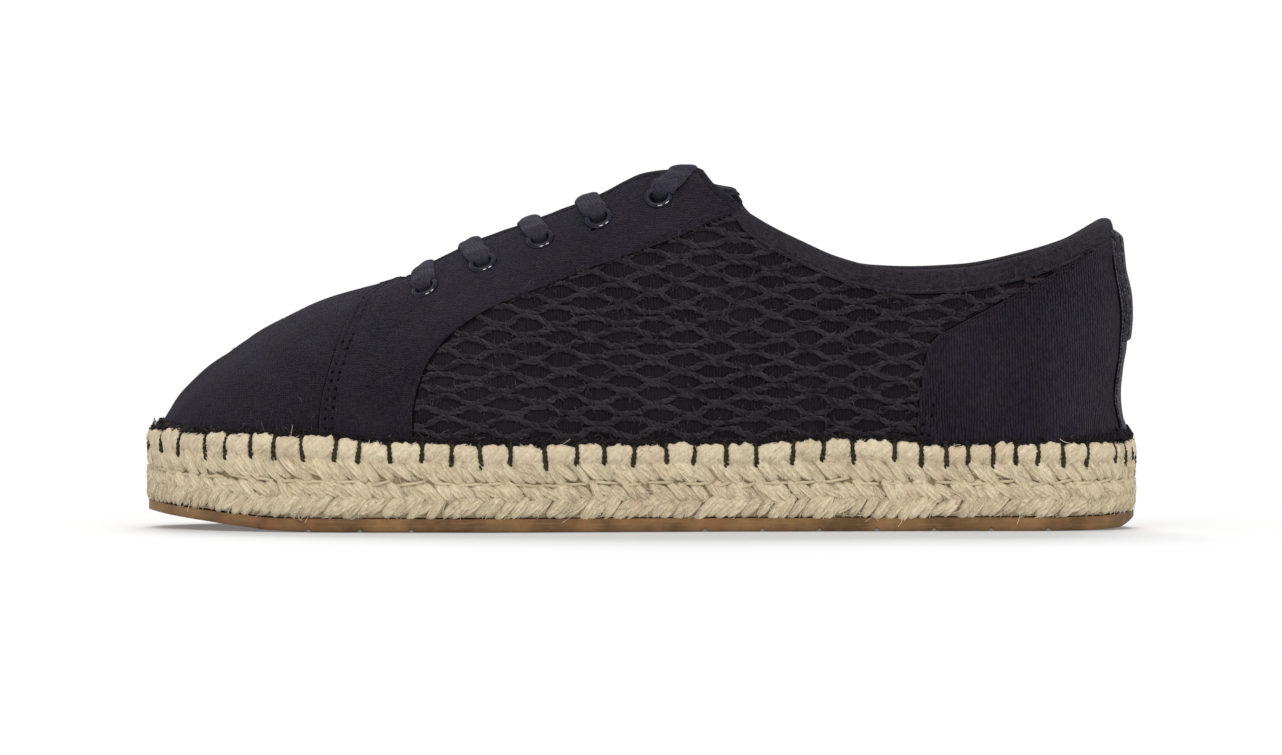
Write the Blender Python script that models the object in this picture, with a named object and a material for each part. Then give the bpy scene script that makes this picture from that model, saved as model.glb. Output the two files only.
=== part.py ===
"""A low lace-up sneaker on a braided rope sole, for the left foot.

The shoe stands on z = 0. Its toe points to -X, its outer (lateral) side to -Y and its inner (medial) side to +Y.
Sizes and tables are in millimetres, and each mesh is written in metres.
"""
import math
from functools import lru_cache

import bmesh
import bpy
import numpy as np
from mathutils import Vector

MM = 0.001
LATERAL, MEDIAL = -1, 1
SIDE_NAMES = {LATERAL: "lateral", MEDIAL: "medial"}

# Driving sizes
ROPE_LENGTH = 288.0        # the rope sole, toe tip to heel back
TOE_X = -ROPE_LENGTH / 2
HEEL_X = ROPE_LENGTH / 2
TOE_REACH, TOE_POWER = 62.0, 2.1
HEEL_REACH, HEEL_POWER = 36.0, 2.2
UPPER_INSET = 3.0          # the upper's foot line, inside the rope's widest line
OUTSOLE_INSET = 1.5
INSOLE_INSET = 7.0
OUTSOLE_THICK = 4.0
INSOLE_THICK = 2.5
WALL = 1.8                 # canvas and lining together
GAP = 0.3                  # between two curved pieces
FOOT_GAP = 0.5             # between the rope's top and the upper's lower edge
OVERLAY_GAP = 0.5
OVERLAY_THICK = 0.9
STITCH_COUNT = 74          # blanket stitches on each side of the rope
THROAT_X, THROAT_END = -70.0, 19.5
EYELET_HOLE_R, EYELET_OUTER_R = 2.2, 4.0
EYELET_BARREL_R = 2.75
LACE_WIDTH, LACE_THICK = 7.0, 1.2
BINDING_HEIGHT, BINDING_THICK = 6.2, 0.6
BINDING_FROM = 32.0


# ---------------------------------------------------------------- tables
def steepness(xs, ys):
    """Slopes at the rows of a table, which keep a curve through them from overshooting."""
    run, chord = np.diff(xs), np.diff(ys) / np.diff(xs)
    slope = np.zeros_like(ys)
    slope[0], slope[-1] = chord[0], chord[-1]
    for i in range(1, len(xs) - 1):
        if chord[i - 1] * chord[i] > 0:
            before, after = 2 * run[i] + run[i - 1], run[i] + 2 * run[i - 1]
            slope[i] = (before + after) / (before / chord[i - 1] + after / chord[i])
    return slope


class Rows:
    """A short table with named columns, read between its rows along smooth curves."""

    def __init__(self, names, *rows):
        names, columns = names.split(), np.array(rows, float).T
        self.x = columns[0]
        self.columns = {n: (c, steepness(self.x, c)) for n, c in zip(names[1:], columns[1:])}

    def at(self, name, x):
        values, slopes = self.columns[name]
        x = min(max(x, self.x[0]), self.x[-1])
        i = min(int(np.searchsorted(self.x, x, side="right")) - 1, len(self.x) - 2)
        run = self.x[i + 1] - self.x[i]
        t = (x - self.x[i]) / run
        rise = values[i + 1] - values[i]
        return float(
            values[i]
            + rise * t * t * (3 - 2 * t)
            + run * t * (1 - t) * (slopes[i] * (1 - t) - slopes[i + 1] * t)
        )


# The rope sole seen from above: its middle line and its half width
PLAN = Rows(
    "x axis half",
    (-144, 12.2, 50.0),
    (-115, 5.7, 50.5),
    (-85, 0.7, 51.0),
    (-50, -0.8, 51.0),
    (-10, -2.8, 43.5),
    (35, -4.3, 36.0),
    (75, -1.3, 35.2),
    (110, 0.7, 36.0),
    (144, 1.2, 36.5),
)
# The height of the rope's top edge, where the upper is sewn down
ROPE_TOP = Rows(
    "x z",
    (-144, 30.2), (-125, 28.6), (-100, 27.4), (-70, 25.7), (0, 25.3), (60, 26.2), (105, 25.8), (144, 26.8),
)
# The last, section by section. crown is the height of its ridge; shift moves the ridge to the medial side and flat
# widens it, both as shares of the half width; reach and slope shape the crown, rise and swell the wall above the foot.
LAST = Rows(
    "x crown shift flat reach slope rise swell",
    (-141.0, 30.8, 0.00, 0.00, 0.62, 0, 0.50, 0.00),
    (-138.2, 34.5, 0.00, 0.00, 0.62, 0, 0.50, 0.00),
    (-132.8, 41.5, 0.02, 0.00, 0.62, 0, 0.50, 0.01),
    (-126.9, 47.4, 0.03, 0.00, 0.62, 0, 0.50, 0.02),
    (-118.8, 53.0, 0.04, 0.00, 0.60, 0, 0.48, 0.03),
    (-109.7, 58.6, 0.05, 0.00, 0.60, 0, 0.46, 0.04),
    (-101.0, 63.0, 0.07, 0.00, 0.58, 0, 0.44, 0.04),
    (-91.9, 66.7, 0.08, 0.00, 0.56, 0, 0.42, 0.05),
    (-81.2, 70.6, 0.10, 0.00, 0.54, 0, 0.40, 0.05),
    (-70.0, 73.4, 0.11, 0.00, 0.52, 0, 0.38, 0.05),
    (-58.4, 80.0, 0.12, 0.00, 0.50, 0, 0.36, 0.05),
    (-47.0, 85.3, 0.13, 0.00, 0.50, 0, 0.36, 0.05),
    (-28.0, 92.3, 0.14, 0.00, 0.52, 0, 0.36, 0.05),
    (-12.0, 98.6, 0.15, 0.02, 0.54, 0, 0.36, 0.05),
    (3.0, 105.0, 0.14, 0.05, 0.58, 4, 0.36, 0.05),
    (18.0, 106.4, 0.12, 0.12, 0.66, 10, 0.37, 0.04),
    (35.0, 110.5, 0.08, 0.25, 0.75, 28, 0.38, 0.03),
    (60.0, 116.0, 0.04, 0.42, 0.80, 50, 0.40, 0.03),
    (100.0, 118.0, 0.00, 0.52, 0.80, 62, 0.40, 0.04),
    (141.0, 118.0, 0.00, 0.55, 0.80, 66, 0.40, 0.04),
)
# The top line behind the throat, on each side: eyestay end, quarter, heel
TOP_LINE = Rows(
    "x lateral medial",
    (13.0, 108.5, 108.0), (18.3, 104.2, 103.6), (24.0, 98.8, 99.6), (27.6, 96.0, 98.0), (30.2, 93.2, 93.6),
    (33.7, 91.0, 90.2), (38.0, 88.5, 87.4), (46.2, 84.5, 83.3), (57.2, 79.3, 78.4), (67.0, 76.4, 75.9),
    (78.7, 75.0, 75.1), (93.0, 75.4, 75.5), (112.0, 79.2, 79.1), (126.0, 84.0, 83.9), (136.0, 88.2, 88.2),
    (141.0, 89.8, 89.8),
)
# How far the heel's back line stands in front of its widest point, by height
HEEL_BACK = Rows(
    "z inward",
    (26, 0.6), (32, 1.6), (38, 3.0), (45, 2.9), (52, 2.2), (60, 1.9), (70, 2.6), (78, 3.8), (85, 4.1), (90, 5.5),
    (118, 13.0),
)
# Eyelet centres on the eyestays, and how far the lace bar between a pair leans along the shoe at its middle
EYELETS = (
    # x, height, lean
    (-62.2, 68.9, -1.0),
    (-45.6, 76.2, -4.6),
    (-28.9, 83.1, -4.0),
    (-11.9, 89.2, -4.2),
    (5.4, 95.6, 8.0),
)
# Seams on the quarter, as seen from the side, from the rope up to the top line
EYESTAY_FRONT = Rows(
    "z x",
    (25, -93.4), (35, -92.8), (42, -91.6), (54, -88.2), (60, -85.9), (64.5, -83.5), (69, -79.8), (72, -76.0),
    (76, -73.0),
)
EYESTAY_REAR = Rows(
    "x z",
    (-66.4, 25.0), (-65.9, 34.8), (-63.9, 43.3), (-61.6, 48.8), (-56.0, 56.0), (-46.7, 63.0), (-34.0, 69.0),
    (-24.4, 72.8), (-10.7, 78.4), (6.4, 84.6), (21.8, 90.9), (30.0, 93.8),
)
COUNTER_FRONT = Rows(
    "x z",
    (79.3, 25.0), (81.2, 39.8), (82.5, 49.6), (84.5, 55.2), (91.7, 60.0), (108.6, 68.5), (122.0, 75.5),
    (131.0, 80.6),
)
# The rope sole's side, from the floor side up: share of its height and distance inside the widest line
ROPE_SIDE = ((0.0, 1.3), (0.24, 0.0), (0.50, 1.2), (0.76, 0.4), (1.0, 2.6))
SCALLOP_FROM, SCALLOP_DEPTH = 0.7, 0.9
# Cross grooves of the tread: first groove, last groove and spacing, in the heel and in the forefoot
TREAD_RUNS = ((-108.0, -62.0, 11.5), (22.0, 118.0, 16.0))
GROOVE_WIDTH, GROOVE_DEPTH = 1.6, 1.3


# ---------------------------------------------------------------- the last
def round_end(distance, reach, power):
    """A share from 0 to 1 that rounds off an outline towards its end."""
    if distance >= reach:
        return 1.0
    return (1.0 - (1.0 - max(distance, 0.0) / reach) ** power) ** (1.0 / power)


def half_width(x, inset):
    toe = round_end(x - TOE_X - inset, TOE_REACH - inset, TOE_POWER)
    heel = round_end(HEEL_X - inset - x, HEEL_REACH - inset, HEEL_POWER)
    return (PLAN.at("half", x) - inset) * toe * heel


def outline(x, side, inset=0.0):
    return PLAN.at("axis", x) + side * half_width(x, inset)


def sole_bottom(x):
    """The tread's height above the floor: toe spring in front and a slight lift at the back."""
    spring = 7.4 * max(0.0, (-95.0 - x) / 49.0) ** 2
    return spring + 1.2 * max(0.0, (x - 126.0) / 18.0) ** 2


def outsole_top(x):
    thinning = 1.2 * max(0.0, (-95.0 - x) / 49.0)
    return sole_bottom(x) + OUTSOLE_THICK - thinning


def rope_top(x):
    return ROPE_TOP.at("z", x)


@lru_cache(maxsize=None)
def section(x, side):
    """The last's half section at x: four control points of a curve, as (distance outwards, height)."""
    half = half_width(x, UPPER_INSET)
    foot_z = rope_top(x) + FOOT_GAP
    crown_z = max(LAST.at("crown", x), foot_z)
    rise = crown_z - foot_z
    crown_q = half * (LAST.at("flat", x) + side * LAST.at("shift", x))
    reach = LAST.at("reach", x) * (half - crown_q)
    slope = math.radians(LAST.at("slope", x))
    return (
        (half, foot_z),
        (half * (1 + LAST.at("swell", x)), foot_z + LAST.at("rise", x) * rise),
        (crown_q + reach * math.cos(slope), crown_z - reach * math.sin(slope)),
        (crown_q, crown_z),
    )


def on_curve(points, t):
    a, b, c, d = (1 - t) ** 3, 3 * t * (1 - t) ** 2, 3 * t * t * (1 - t), t**3
    return tuple(a * p + b * q + c * r + d * s for p, q, r, s in zip(*points))


@lru_cache(maxsize=None)
def share_at_height(x, side, z):
    """Where the half section at x passes a height, as a share from its foot to its crown."""
    low, high = 0.0, 1.0
    for _ in range(30):
        middle = (low + high) / 2
        if on_curve(section(x, side), middle)[1] < z:
            low = middle
        else:
            high = middle
    return (low + high) / 2


@lru_cache(maxsize=None)
def rim_share(x, side):
    """The share at which the upper ends: 1 on the closed vamp, less along the throat and the collar."""
    if x <= THROAT_X:
        return 1.0
    drop = 2.3 * min(1.0, (x - THROAT_X) / 6.0)
    rim_z = section(x, side)[3][1] - drop
    if x > TOP_LINE.x[0]:
        rim_z = min(rim_z, TOP_LINE.at(SIDE_NAMES[side], x))
    return share_at_height(x, side, rim_z)


def last_point(x, side, share):
    """A point of the last's surface, with the heel's back line drawn in."""
    q, z = on_curve(section(x, side), share)
    backward = max(0.0, (x - 60.0) / 81.0) ** 2
    return np.array((x - HEEL_BACK.at("inward", z) * backward, PLAN.at("axis", x) + side * q, z))


@lru_cache(maxsize=None)
def foot_walk():
    """x along the upper's foot line, and the share of the way gone from toe tip to heel back."""
    xs = -(ROPE_LENGTH / 2 - UPPER_INSET) * np.cos(np.linspace(0.0, math.pi, 1500))
    steps = np.hypot(np.diff(xs), np.diff([half_width(x, UPPER_INSET) for x in xs]))
    gone = np.concatenate([[0.0], np.cumsum(steps)])
    return xs, gone / gone[-1]


def station(way):
    """x at a share of the way from toe tip to heel back, so that even shares are evenly spaced round the foot."""
    xs, gone = foot_walk()
    return float(np.interp(way, gone, xs))


def way_to(x):
    xs, gone = foot_walk()
    return float(np.interp(x, xs, gone))


def last_normal(x, side, share):
    """The outward direction of the last's surface."""
    way, step, slip = min(max(way_to(x), 0.01), 0.997), 0.003, 0.01
    low, high = max(share - slip, 0.0), min(share + slip, 1.0)
    along = last_point(station(way + step), side, share) - last_point(station(way - step), side, share)
    up = last_point(station(way), side, high) - last_point(station(way), side, low)
    normal = np.cross(along, up) * -side
    return normal / np.linalg.norm(normal)


def lifted(x, side, share, lift):
    return last_point(x, side, share) + last_normal(x, side, share) * lift


@lru_cache(maxsize=None)
def crown_walk(x, side):
    """Shares and their distances from the crown, measured over the half section at x."""
    shares = np.linspace(1.0, 0.0, 60)
    points = np.array([last_point(x, side, s) for s in shares])
    return shares, np.concatenate([[0.0], np.cumsum(np.linalg.norm(np.diff(points, axis=0), axis=1))])


def share_from_crown(x, side, distance):
    shares, distances = crown_walk(x, side)
    return float(np.interp(distance, distances, shares))


# ---------------------------------------------------------------- meshes
def material(name, colour, roughness, metallic=0.0):
    made = bpy.data.materials.new(name)
    made.use_nodes = True
    shader = made.node_tree.nodes["Principled BSDF"]
    shader.inputs["Base Color"].default_value = (*colour, 1.0)
    shader.inputs["Roughness"].default_value = roughness
    shader.inputs["Metallic"].default_value = metallic
    return made


def piece(name, points, faces, finish, wall=0.0):
    """One named object from points in millimetres. Points that meet become one, and its faces point outwards. An open
    sheet on the sole gets a wall, inwards, whose lower edge stays above the rope."""
    mesh = bpy.data.meshes.new(name)
    mesh.from_pydata([tuple(float(c) * MM for c in p) for p in points], [], faces)
    shape = bmesh.new()
    shape.from_mesh(mesh)
    bmesh.ops.remove_doubles(shape, verts=shape.verts, dist=0.00002)
    bmesh.ops.dissolve_degenerate(shape, edges=shape.edges, dist=0.00001)
    if wall:
        bmesh.ops.solidify(shape, geom=shape.faces, thickness=wall * MM)
        for corner in shape.verts:
            corner.co.z = max(corner.co.z, (rope_top(corner.co.x / MM) + FOOT_GAP) * MM)
    bmesh.ops.recalc_face_normals(shape, faces=shape.faces)
    shape.to_mesh(mesh)
    shape.free()
    mesh.shade_smooth()
    mesh.set_sharp_from_angle(angle=math.radians(40))
    mesh.materials.append(finish)
    made = bpy.data.objects.new(name, mesh)
    bpy.context.scene.collection.objects.link(made)
    return made


def grid_faces(rows, columns, close_columns=False):
    """Quads between neighbouring rows of points."""
    wide = columns if close_columns else columns - 1
    return [
        (r * columns + c, r * columns + (c + 1) % columns, (r + 1) * columns + (c + 1) % columns, (r + 1) * columns + c)
        for r in range(rows - 1)
        for c in range(wide)
    ]


def tube(name, rings, finish, caps=True):
    """A solid skinned over closed rings of points."""
    columns = len(rings[0])
    faces = grid_faces(len(rings), columns, close_columns=True)
    if caps:
        faces.append(tuple(range(columns)))
        faces.append(tuple(range((len(rings) - 1) * columns, len(rings) * columns)))
    return piece(name, [p for ring in rings for p in ring], faces, finish)


def plate(name, inner, outer, finish):
    """A thin shell between two grids of points of the same size."""
    rows, columns = len(inner), len(inner[0])
    count = rows * columns
    faces = [tuple(reversed(f)) for f in grid_faces(rows, columns)]
    faces += [tuple(i + count for i in f) for f in grid_faces(rows, columns)]
    edge = [(0, c) for c in range(columns)] + [(r, columns - 1) for r in range(1, rows)]
    edge += [(rows - 1, c) for c in range(columns - 2, -1, -1)] + [(r, 0) for r in range(rows - 2, 0, -1)]
    loop = [r * columns + c for r, c in edge]
    faces += [(a, b, b + count, a + count) for a, b in zip(loop, loop[1:] + loop[:1])]
    return piece(name, [p for grid in (inner, outer) for row in grid for p in row], faces, finish)


def cut_with(target, cutter):
    cut = target.modifiers.new("eyelet_holes", "BOOLEAN")
    cut.operation = "DIFFERENCE"
    cut.object = cutter


# ---------------------------------------------------------------- the sole
def tread_stations():
    """Stations along the outsole, each with the depth of its groove."""
    ends = [(-TOE_X - OUTSOLE_INSET) * -math.cos(math.pi * i / 30) for i in range(31)]
    grooves = []
    for first, last, spacing in TREAD_RUNS:
        count = round((last - first) / spacing)
        grooves += [first + (last - first) * i / count for i in range(count + 1)]
    found = [(x, 0.0) for x in ends if all(abs(x - g) > GROOVE_WIDTH for g in grooves)]
    for g in grooves:
        for offset, depth in ((-0.8, 0.0), (-0.55, GROOVE_DEPTH), (0.55, GROOVE_DEPTH), (0.8, 0.0)):
            found.append((g + offset, depth))
    return sorted(found)


def make_outsole(finish):
    chamfer = 1.0
    rings = []
    for x, groove in tread_stations():
        low = sole_bottom(x) + groove
        edge = max(low, sole_bottom(x) + chamfer)
        foot = min(chamfer, half_width(x, OUTSOLE_INSET))
        ring = []
        for side, order in ((LATERAL, 1), (MEDIAL, -1)):
            y = outline(x, side, OUTSOLE_INSET)
            ring += [(x, y, outsole_top(x)), (x, y, edge), (x, y - side * foot, low)][::order]
        rings.append(ring)
    return tube("outsole", rings, finish, caps=False)


def walk_outline(side, count):
    """Points of the rope's widest line, evenly spaced from toe tip to heel back, each with its outward direction."""
    turns = np.linspace(0.0, math.pi, 900)
    xs = [TOE_X * math.cos(t) for t in turns]
    line = np.array([(x, outline(x, side)) for x in xs])
    gone = np.concatenate([[0.0], np.cumsum(np.linalg.norm(np.diff(line, axis=0), axis=1))])
    found = []
    for distance in np.linspace(0.0, gone[-1], count + 1):
        here = np.array([np.interp(distance, gone, line[:, k]) for k in (0, 1)])
        ahead = np.array([np.interp(distance + 1.0, gone, line[:, k]) for k in (0, 1)])
        behind = np.array([np.interp(distance - 1.0, gone, line[:, k]) for k in (0, 1)])
        along = ahead - behind
        outward = np.array((along[1], -along[0])) * -side
        if distance in (0.0, gone[-1]):
            outward = np.array((math.copysign(1.0, here[0]), 0.0))
        found.append((here, outward / np.linalg.norm(outward)))
    return found


def make_rope_sole(finish):
    """Two braids stacked on edge. The upper one is scalloped where the blanket stitches pull it in."""
    lateral, medial = walk_outline(LATERAL, STITCH_COUNT), walk_outline(MEDIAL, STITCH_COUNT)
    loop = lateral + medial[-2:0:-1]
    rings = []
    for height, inside in ROPE_SIDE:
        ring = []
        for i, (here, outward) in enumerate(loop):
            pinch = SCALLOP_DEPTH if i % 2 and height > SCALLOP_FROM else 0.0
            x, y = here - outward * (inside + pinch)
            low, high = outsole_top(here[0]) + GAP, rope_top(here[0])
            ring.append((x, y, low + (high - low) * height))
        rings.append(ring)
    count, top = len(loop), (len(rings) - 1) * len(loop)
    faces = grid_faces(len(rings), count, close_columns=True)
    for i in range(STITCH_COUNT):
        cap = (i, i + 1, count - i - 1, (count - i) % count)
        cap = tuple(dict.fromkeys(cap))
        faces += [cap, tuple(k + top for k in cap)]
    return piece("rope_midsole", [p for ring in rings for p in ring], faces, finish)


def make_insole(finish):
    reach = ROPE_LENGTH / 2 - INSOLE_INSET
    rings = []
    for i in range(25):
        x = -reach * math.cos(math.pi * i / 24)
        low = rope_top(x) + GAP
        ring = []
        for side, order in ((LATERAL, 1), (MEDIAL, -1)):
            y = outline(x, side, INSOLE_INSET)
            round_off = min(0.8, half_width(x, INSOLE_INSET))
            ring += [(x, y, low), (x, y, low + INSOLE_THICK - 0.7), (x, y - side * round_off, low + INSOLE_THICK)][::order]
        rings.append(ring)
    return tube("insole", rings, finish, caps=False)


# ---------------------------------------------------------------- the upper
UPPER_STATIONS = 34
WALL_ROWS = (0.0, 0.16, 0.32, 0.47, 0.60, 0.71, 0.80, 0.88, 0.94, 1.0)


@lru_cache(maxsize=None)
def upper_stations():
    """The upper's stations: evenly spaced round the foot, and at the throat's two ends and the binding's start."""
    placed = [THROAT_X, THROAT_X + 5.0, THROAT_END, BINDING_FROM]
    even = [station(i / UPPER_STATIONS) for i in range(UPPER_STATIONS + 1)]
    return sorted(placed + [x for x in even if min(abs(x - p) for p in placed) > 4.0])


def make_upper(finish):
    """The canvas upper: one wall, open at the throat and the collar and open underneath."""
    xs = upper_stations()
    points, faces = [], []
    for side in (LATERAL, MEDIAL):
        start = len(points)
        for x in xs:
            points += [last_point(x, side, row * rim_share(x, side)) for row in WALL_ROWS]
        for face in grid_faces(len(xs), len(WALL_ROWS)):
            face = tuple(i + start for i in face)
            faces.append(face[::-1] if side == LATERAL else face)
    return piece("upper", points, faces, finish, wall=WALL)


def seam_shares(seam, rows):
    """Points of a seam table that runs along x, as (x, share of the lateral section), foot to top."""
    xs = np.interp(rows, np.linspace(0, 1, len(seam.x)), seam.x)
    return [(x, share_at_height(x, LATERAL, seam.at("z", x)) / rim_share(x, LATERAL)) for x in xs]


def below_rim(x, side, drop):
    """The share of the wall at a drop under the rim."""
    rim_z = last_point(x, side, rim_share(x, side))[2]
    return share_at_height(x, side, rim_z - drop) / rim_share(x, side)


def overlay(name, side, front, rear, rows, drop, count, finish):
    """A panel on the upper. front and rear are its edges as (x, share of the wall) from the rope up, and its upper
    edge keeps a drop under the rim. rows are shares of the panel's height, and its columns run front to rear."""
    inner, outer = [], []
    for i in range(count + 1):
        u = i / count
        column = []
        for k, w in enumerate(rows):
            x = station(way_to(front[k][0]) * (1 - u) + way_to(rear[k][0]) * u)
            share = front[k][1] * (1 - u) + rear[k][1] * u
            foot = front[0][1] * (1 - u) + rear[0][1] * u
            top = front[-1][1] * (1 - u) + rear[-1][1] * u
            share += w * (below_rim(x, side, drop) - top) - (1 - w) * foot
            column.append((x, min(max(share, 0.0), 1.0) * rim_share(x, side)))
        inner.append([lifted(x, side, share, OVERLAY_GAP) for x, share in column])
        outer.append([lifted(x, side, share, OVERLAY_GAP + OVERLAY_THICK) for x, share in column])
    return plate(name, inner, outer, finish)


def make_eyestay(side, finish):
    """The lace facing and front quarter, from the vamp seam back to the top of the throat."""
    rows = (0.0, 0.08, 0.18, 0.30, 0.42, 0.54, 0.65, 0.75, 0.83, 0.90, 0.95, 1.0)
    rear = seam_shares(EYESTAY_REAR, rows)
    front = []
    for row in rows:
        z = 26.0 + (74.0 - 26.0) * row
        x = EYESTAY_FRONT.at("x", z)
        front.append((x, share_at_height(x, LATERAL, z)))
    return overlay("eyestay_" + SIDE_NAMES[side], side, front, rear, rows, 0.4, 15, finish)


def heel_station(side, z, y):
    """The station at which the last is y wide at a height, close to the heel's back line."""
    low, high = HEEL_X - 30.0, HEEL_X - UPPER_INSET
    for _ in range(40):
        middle = (low + high) / 2
        share = share_at_height(middle, side, z)
        if abs(last_point(middle, side, share)[1]) > y:
            low = middle
        else:
            high = middle
    return (low + high) / 2


STRIP_HALF = 7.0


def make_counter(side, finish):
    """The heel panel of one side, from its front seam to the heel strip."""
    rows = np.linspace(0.0, 1.0, 9)
    front = seam_shares(COUNTER_FRONT, rows)
    rear = []
    for row in rows:
        z = 26.5 + (84.0 - 26.5) * row
        x = heel_station(side, z, STRIP_HALF + 0.8)
        rear.append((x, share_at_height(x, side, z) / rim_share(x, side)))
    return overlay("counter_" + SIDE_NAMES[side], side, front, rear, rows, BINDING_HEIGHT + 0.6, 14, finish)


def heel_surface(y, z, lift):
    side = LATERAL if y < 0 else MEDIAL
    x = heel_station(side, z, abs(y))
    share = share_at_height(x, side, z)
    point, normal = last_point(x, side, share), last_normal(x, side, share)
    if abs(y) < 0.05:
        point[1], normal[1] = 0.0, 0.0
        normal /= np.linalg.norm(normal)
    return point + normal * lift


def make_heel_band(name, half, low, high, rows, lift, thick, finish):
    """A strip of canvas up the back of the heel."""
    ys = np.linspace(-half, half, 5)
    zs = np.linspace(low, high, rows)
    inner = [[heel_surface(y, z, lift) for y in ys] for z in zs]
    outer = [[heel_surface(y, z, lift + thick) for y in ys] for z in zs]
    return plate(name, inner, outer, finish)


def make_binding(finish):
    """A folded strip over the collar's edge, from one eyestay round the heel to the other."""
    rings = []
    xs = [x for x in upper_stations() if x >= BINDING_FROM]
    path = [(x, LATERAL) for x in xs] + [(x, MEDIAL) for x in xs[-2::-1]]
    for x, side in path:
        x = min(x, HEEL_X - UPPER_INSET - 0.02)
        rim = rim_share(x, side)
        top, normal = last_point(x, side, rim), last_normal(x, side, rim)
        if x > HEEL_X - UPPER_INSET - 0.1:
            top[1], normal[1] = PLAN.at("axis", x), 0.0
        normal[2] *= 0.4
        normal /= np.linalg.norm(normal)
        down = last_point(x, side, share_at_height(x, side, top[2] - 5.0)) - last_point(x, side, rim)
        if x > HEEL_X - UPPER_INSET - 0.1:
            down[1] = 0.0
        down /= np.linalg.norm(down)
        outside, inside = OVERLAY_GAP, -WALL - GAP - 0.2
        ring = []
        for across, drop in (
            (outside, BINDING_HEIGHT),
            (outside + BINDING_THICK, BINDING_HEIGHT),
            (outside + BINDING_THICK, 0.0),
            (outside, -GAP - BINDING_THICK),
            (inside, -GAP - BINDING_THICK),
            (inside - BINDING_THICK, 0.0),
            (inside - BINDING_THICK, BINDING_HEIGHT - 1.0),
            (inside, BINDING_HEIGHT - 1.0),
            (inside, -GAP),
            (outside, -GAP),
        ):
            ring.append(top + normal * across + down * drop)
        rings.append(ring)
    return tube("collar_binding", rings, finish)


# ---------------------------------------------------------------- tongue, eyelets, laces
TONGUE_FROM, TONGUE_TO, TONGUE_HALF = -80.0, 17.0, 23.0
TONGUE_DEPTH, TONGUE_THICK = 2.8, 1.8


def make_tongue(finish):
    inner, outer = [], []
    for i in range(14):
        x = TONGUE_FROM + (TONGUE_TO - TONGUE_FROM) * i / 13
        half = TONGUE_HALF * (0.75 + 0.25 * min(1.0, i / 4))
        half *= 1.0 - 0.12 * max(0.0, (i - 11) / 2) ** 2
        low, high = [], []
        for a in np.linspace(-half, half, 9):
            side = LATERAL if a < 0 else MEDIAL
            share = share_from_crown(x, side, abs(a))
            point, normal = last_point(x, side, share), last_normal(x, side, share)
            high.append(point - normal * TONGUE_DEPTH)
            low.append(point - normal * (TONGUE_DEPTH + TONGUE_THICK))
        inner.append(low)
        outer.append(high)
    return plate("tongue", inner, outer, finish)


def eyelet_seat(number, side):
    """The centre of an eyelet on the last, its outward direction and its share of the section."""
    x, z, _ = EYELETS[number]
    share = share_at_height(x, side, z)
    return Vector(last_point(x, side, share)), Vector(last_normal(x, side, share)), share


def turned(name, centre, direction, profile, segments, finish):
    """A ring turned about an axis. profile holds (radius, distance along the axis) round its cross-section."""
    across = direction.orthogonal().normalized()
    other = direction.cross(across)
    rings = []
    for i in range(segments):
        angle = math.tau * i / segments
        spoke = across * math.cos(angle) + other * math.sin(angle)
        rings.append([tuple(centre + spoke * r + direction * h) for r, h in profile])
    rings.append(rings[0])
    return tube(name, rings, finish, caps=False)


def make_eyelets(finish):
    top = OVERLAY_GAP + OVERLAY_THICK + GAP
    profile = (
        (EYELET_HOLE_R, -WALL), (EYELET_BARREL_R, -WALL), (EYELET_BARREL_R, top), (EYELET_OUTER_R, top),
        (EYELET_HOLE_R + 0.5, top + 0.7),
    )
    for side in (LATERAL, MEDIAL):
        for number in range(len(EYELETS)):
            centre, direction, _ = eyelet_seat(number, side)
            turned(f"eyelet_{SIDE_NAMES[side]}_{number + 1}", centre, direction, profile, 12, finish)


def eyelet_cutter():
    """Ten short pins where the eyelets' barrels pass through eyestay and wall."""
    points, faces = [], []
    radius, segments = EYELET_BARREL_R + GAP, 12
    for side in (LATERAL, MEDIAL):
        for number in range(len(EYELETS)):
            centre, direction, _ = eyelet_seat(number, side)
            across = direction.orthogonal().normalized()
            other = direction.cross(across)
            start = len(points)
            for height in (-5.0, 4.0):
                for i in range(segments):
                    angle = math.tau * i / segments
                    spoke = across * math.cos(angle) + other * math.sin(angle)
                    points.append(tuple(centre + spoke * radius + direction * height))
            faces += [tuple(start + k for k in f) for f in grid_faces(2, segments, close_columns=True)]
            faces.append(tuple(start + i for i in range(segments)))
            faces.append(tuple(start + segments + i for i in range(segments)))
    cutter = piece("eyelet_cutter", points, faces, None)
    cutter.hide_render = True
    cutter.display_type = "WIRE"
    return cutter


# A lace bar's end on each side: distance from the eyelet's centre towards the crown, height above the last, width
BAR_END = ((0.0, -0.4, 2.8), (0.7, 2.2, 3.2), (2.0, 3.5, 4.4), (4.4, 3.2, 6.4))
BAR_OVER_EDGE = 2.6        # the bar's middle plane above the last where it leaves the eyestay
BAR_ARCH = 0.2


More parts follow.
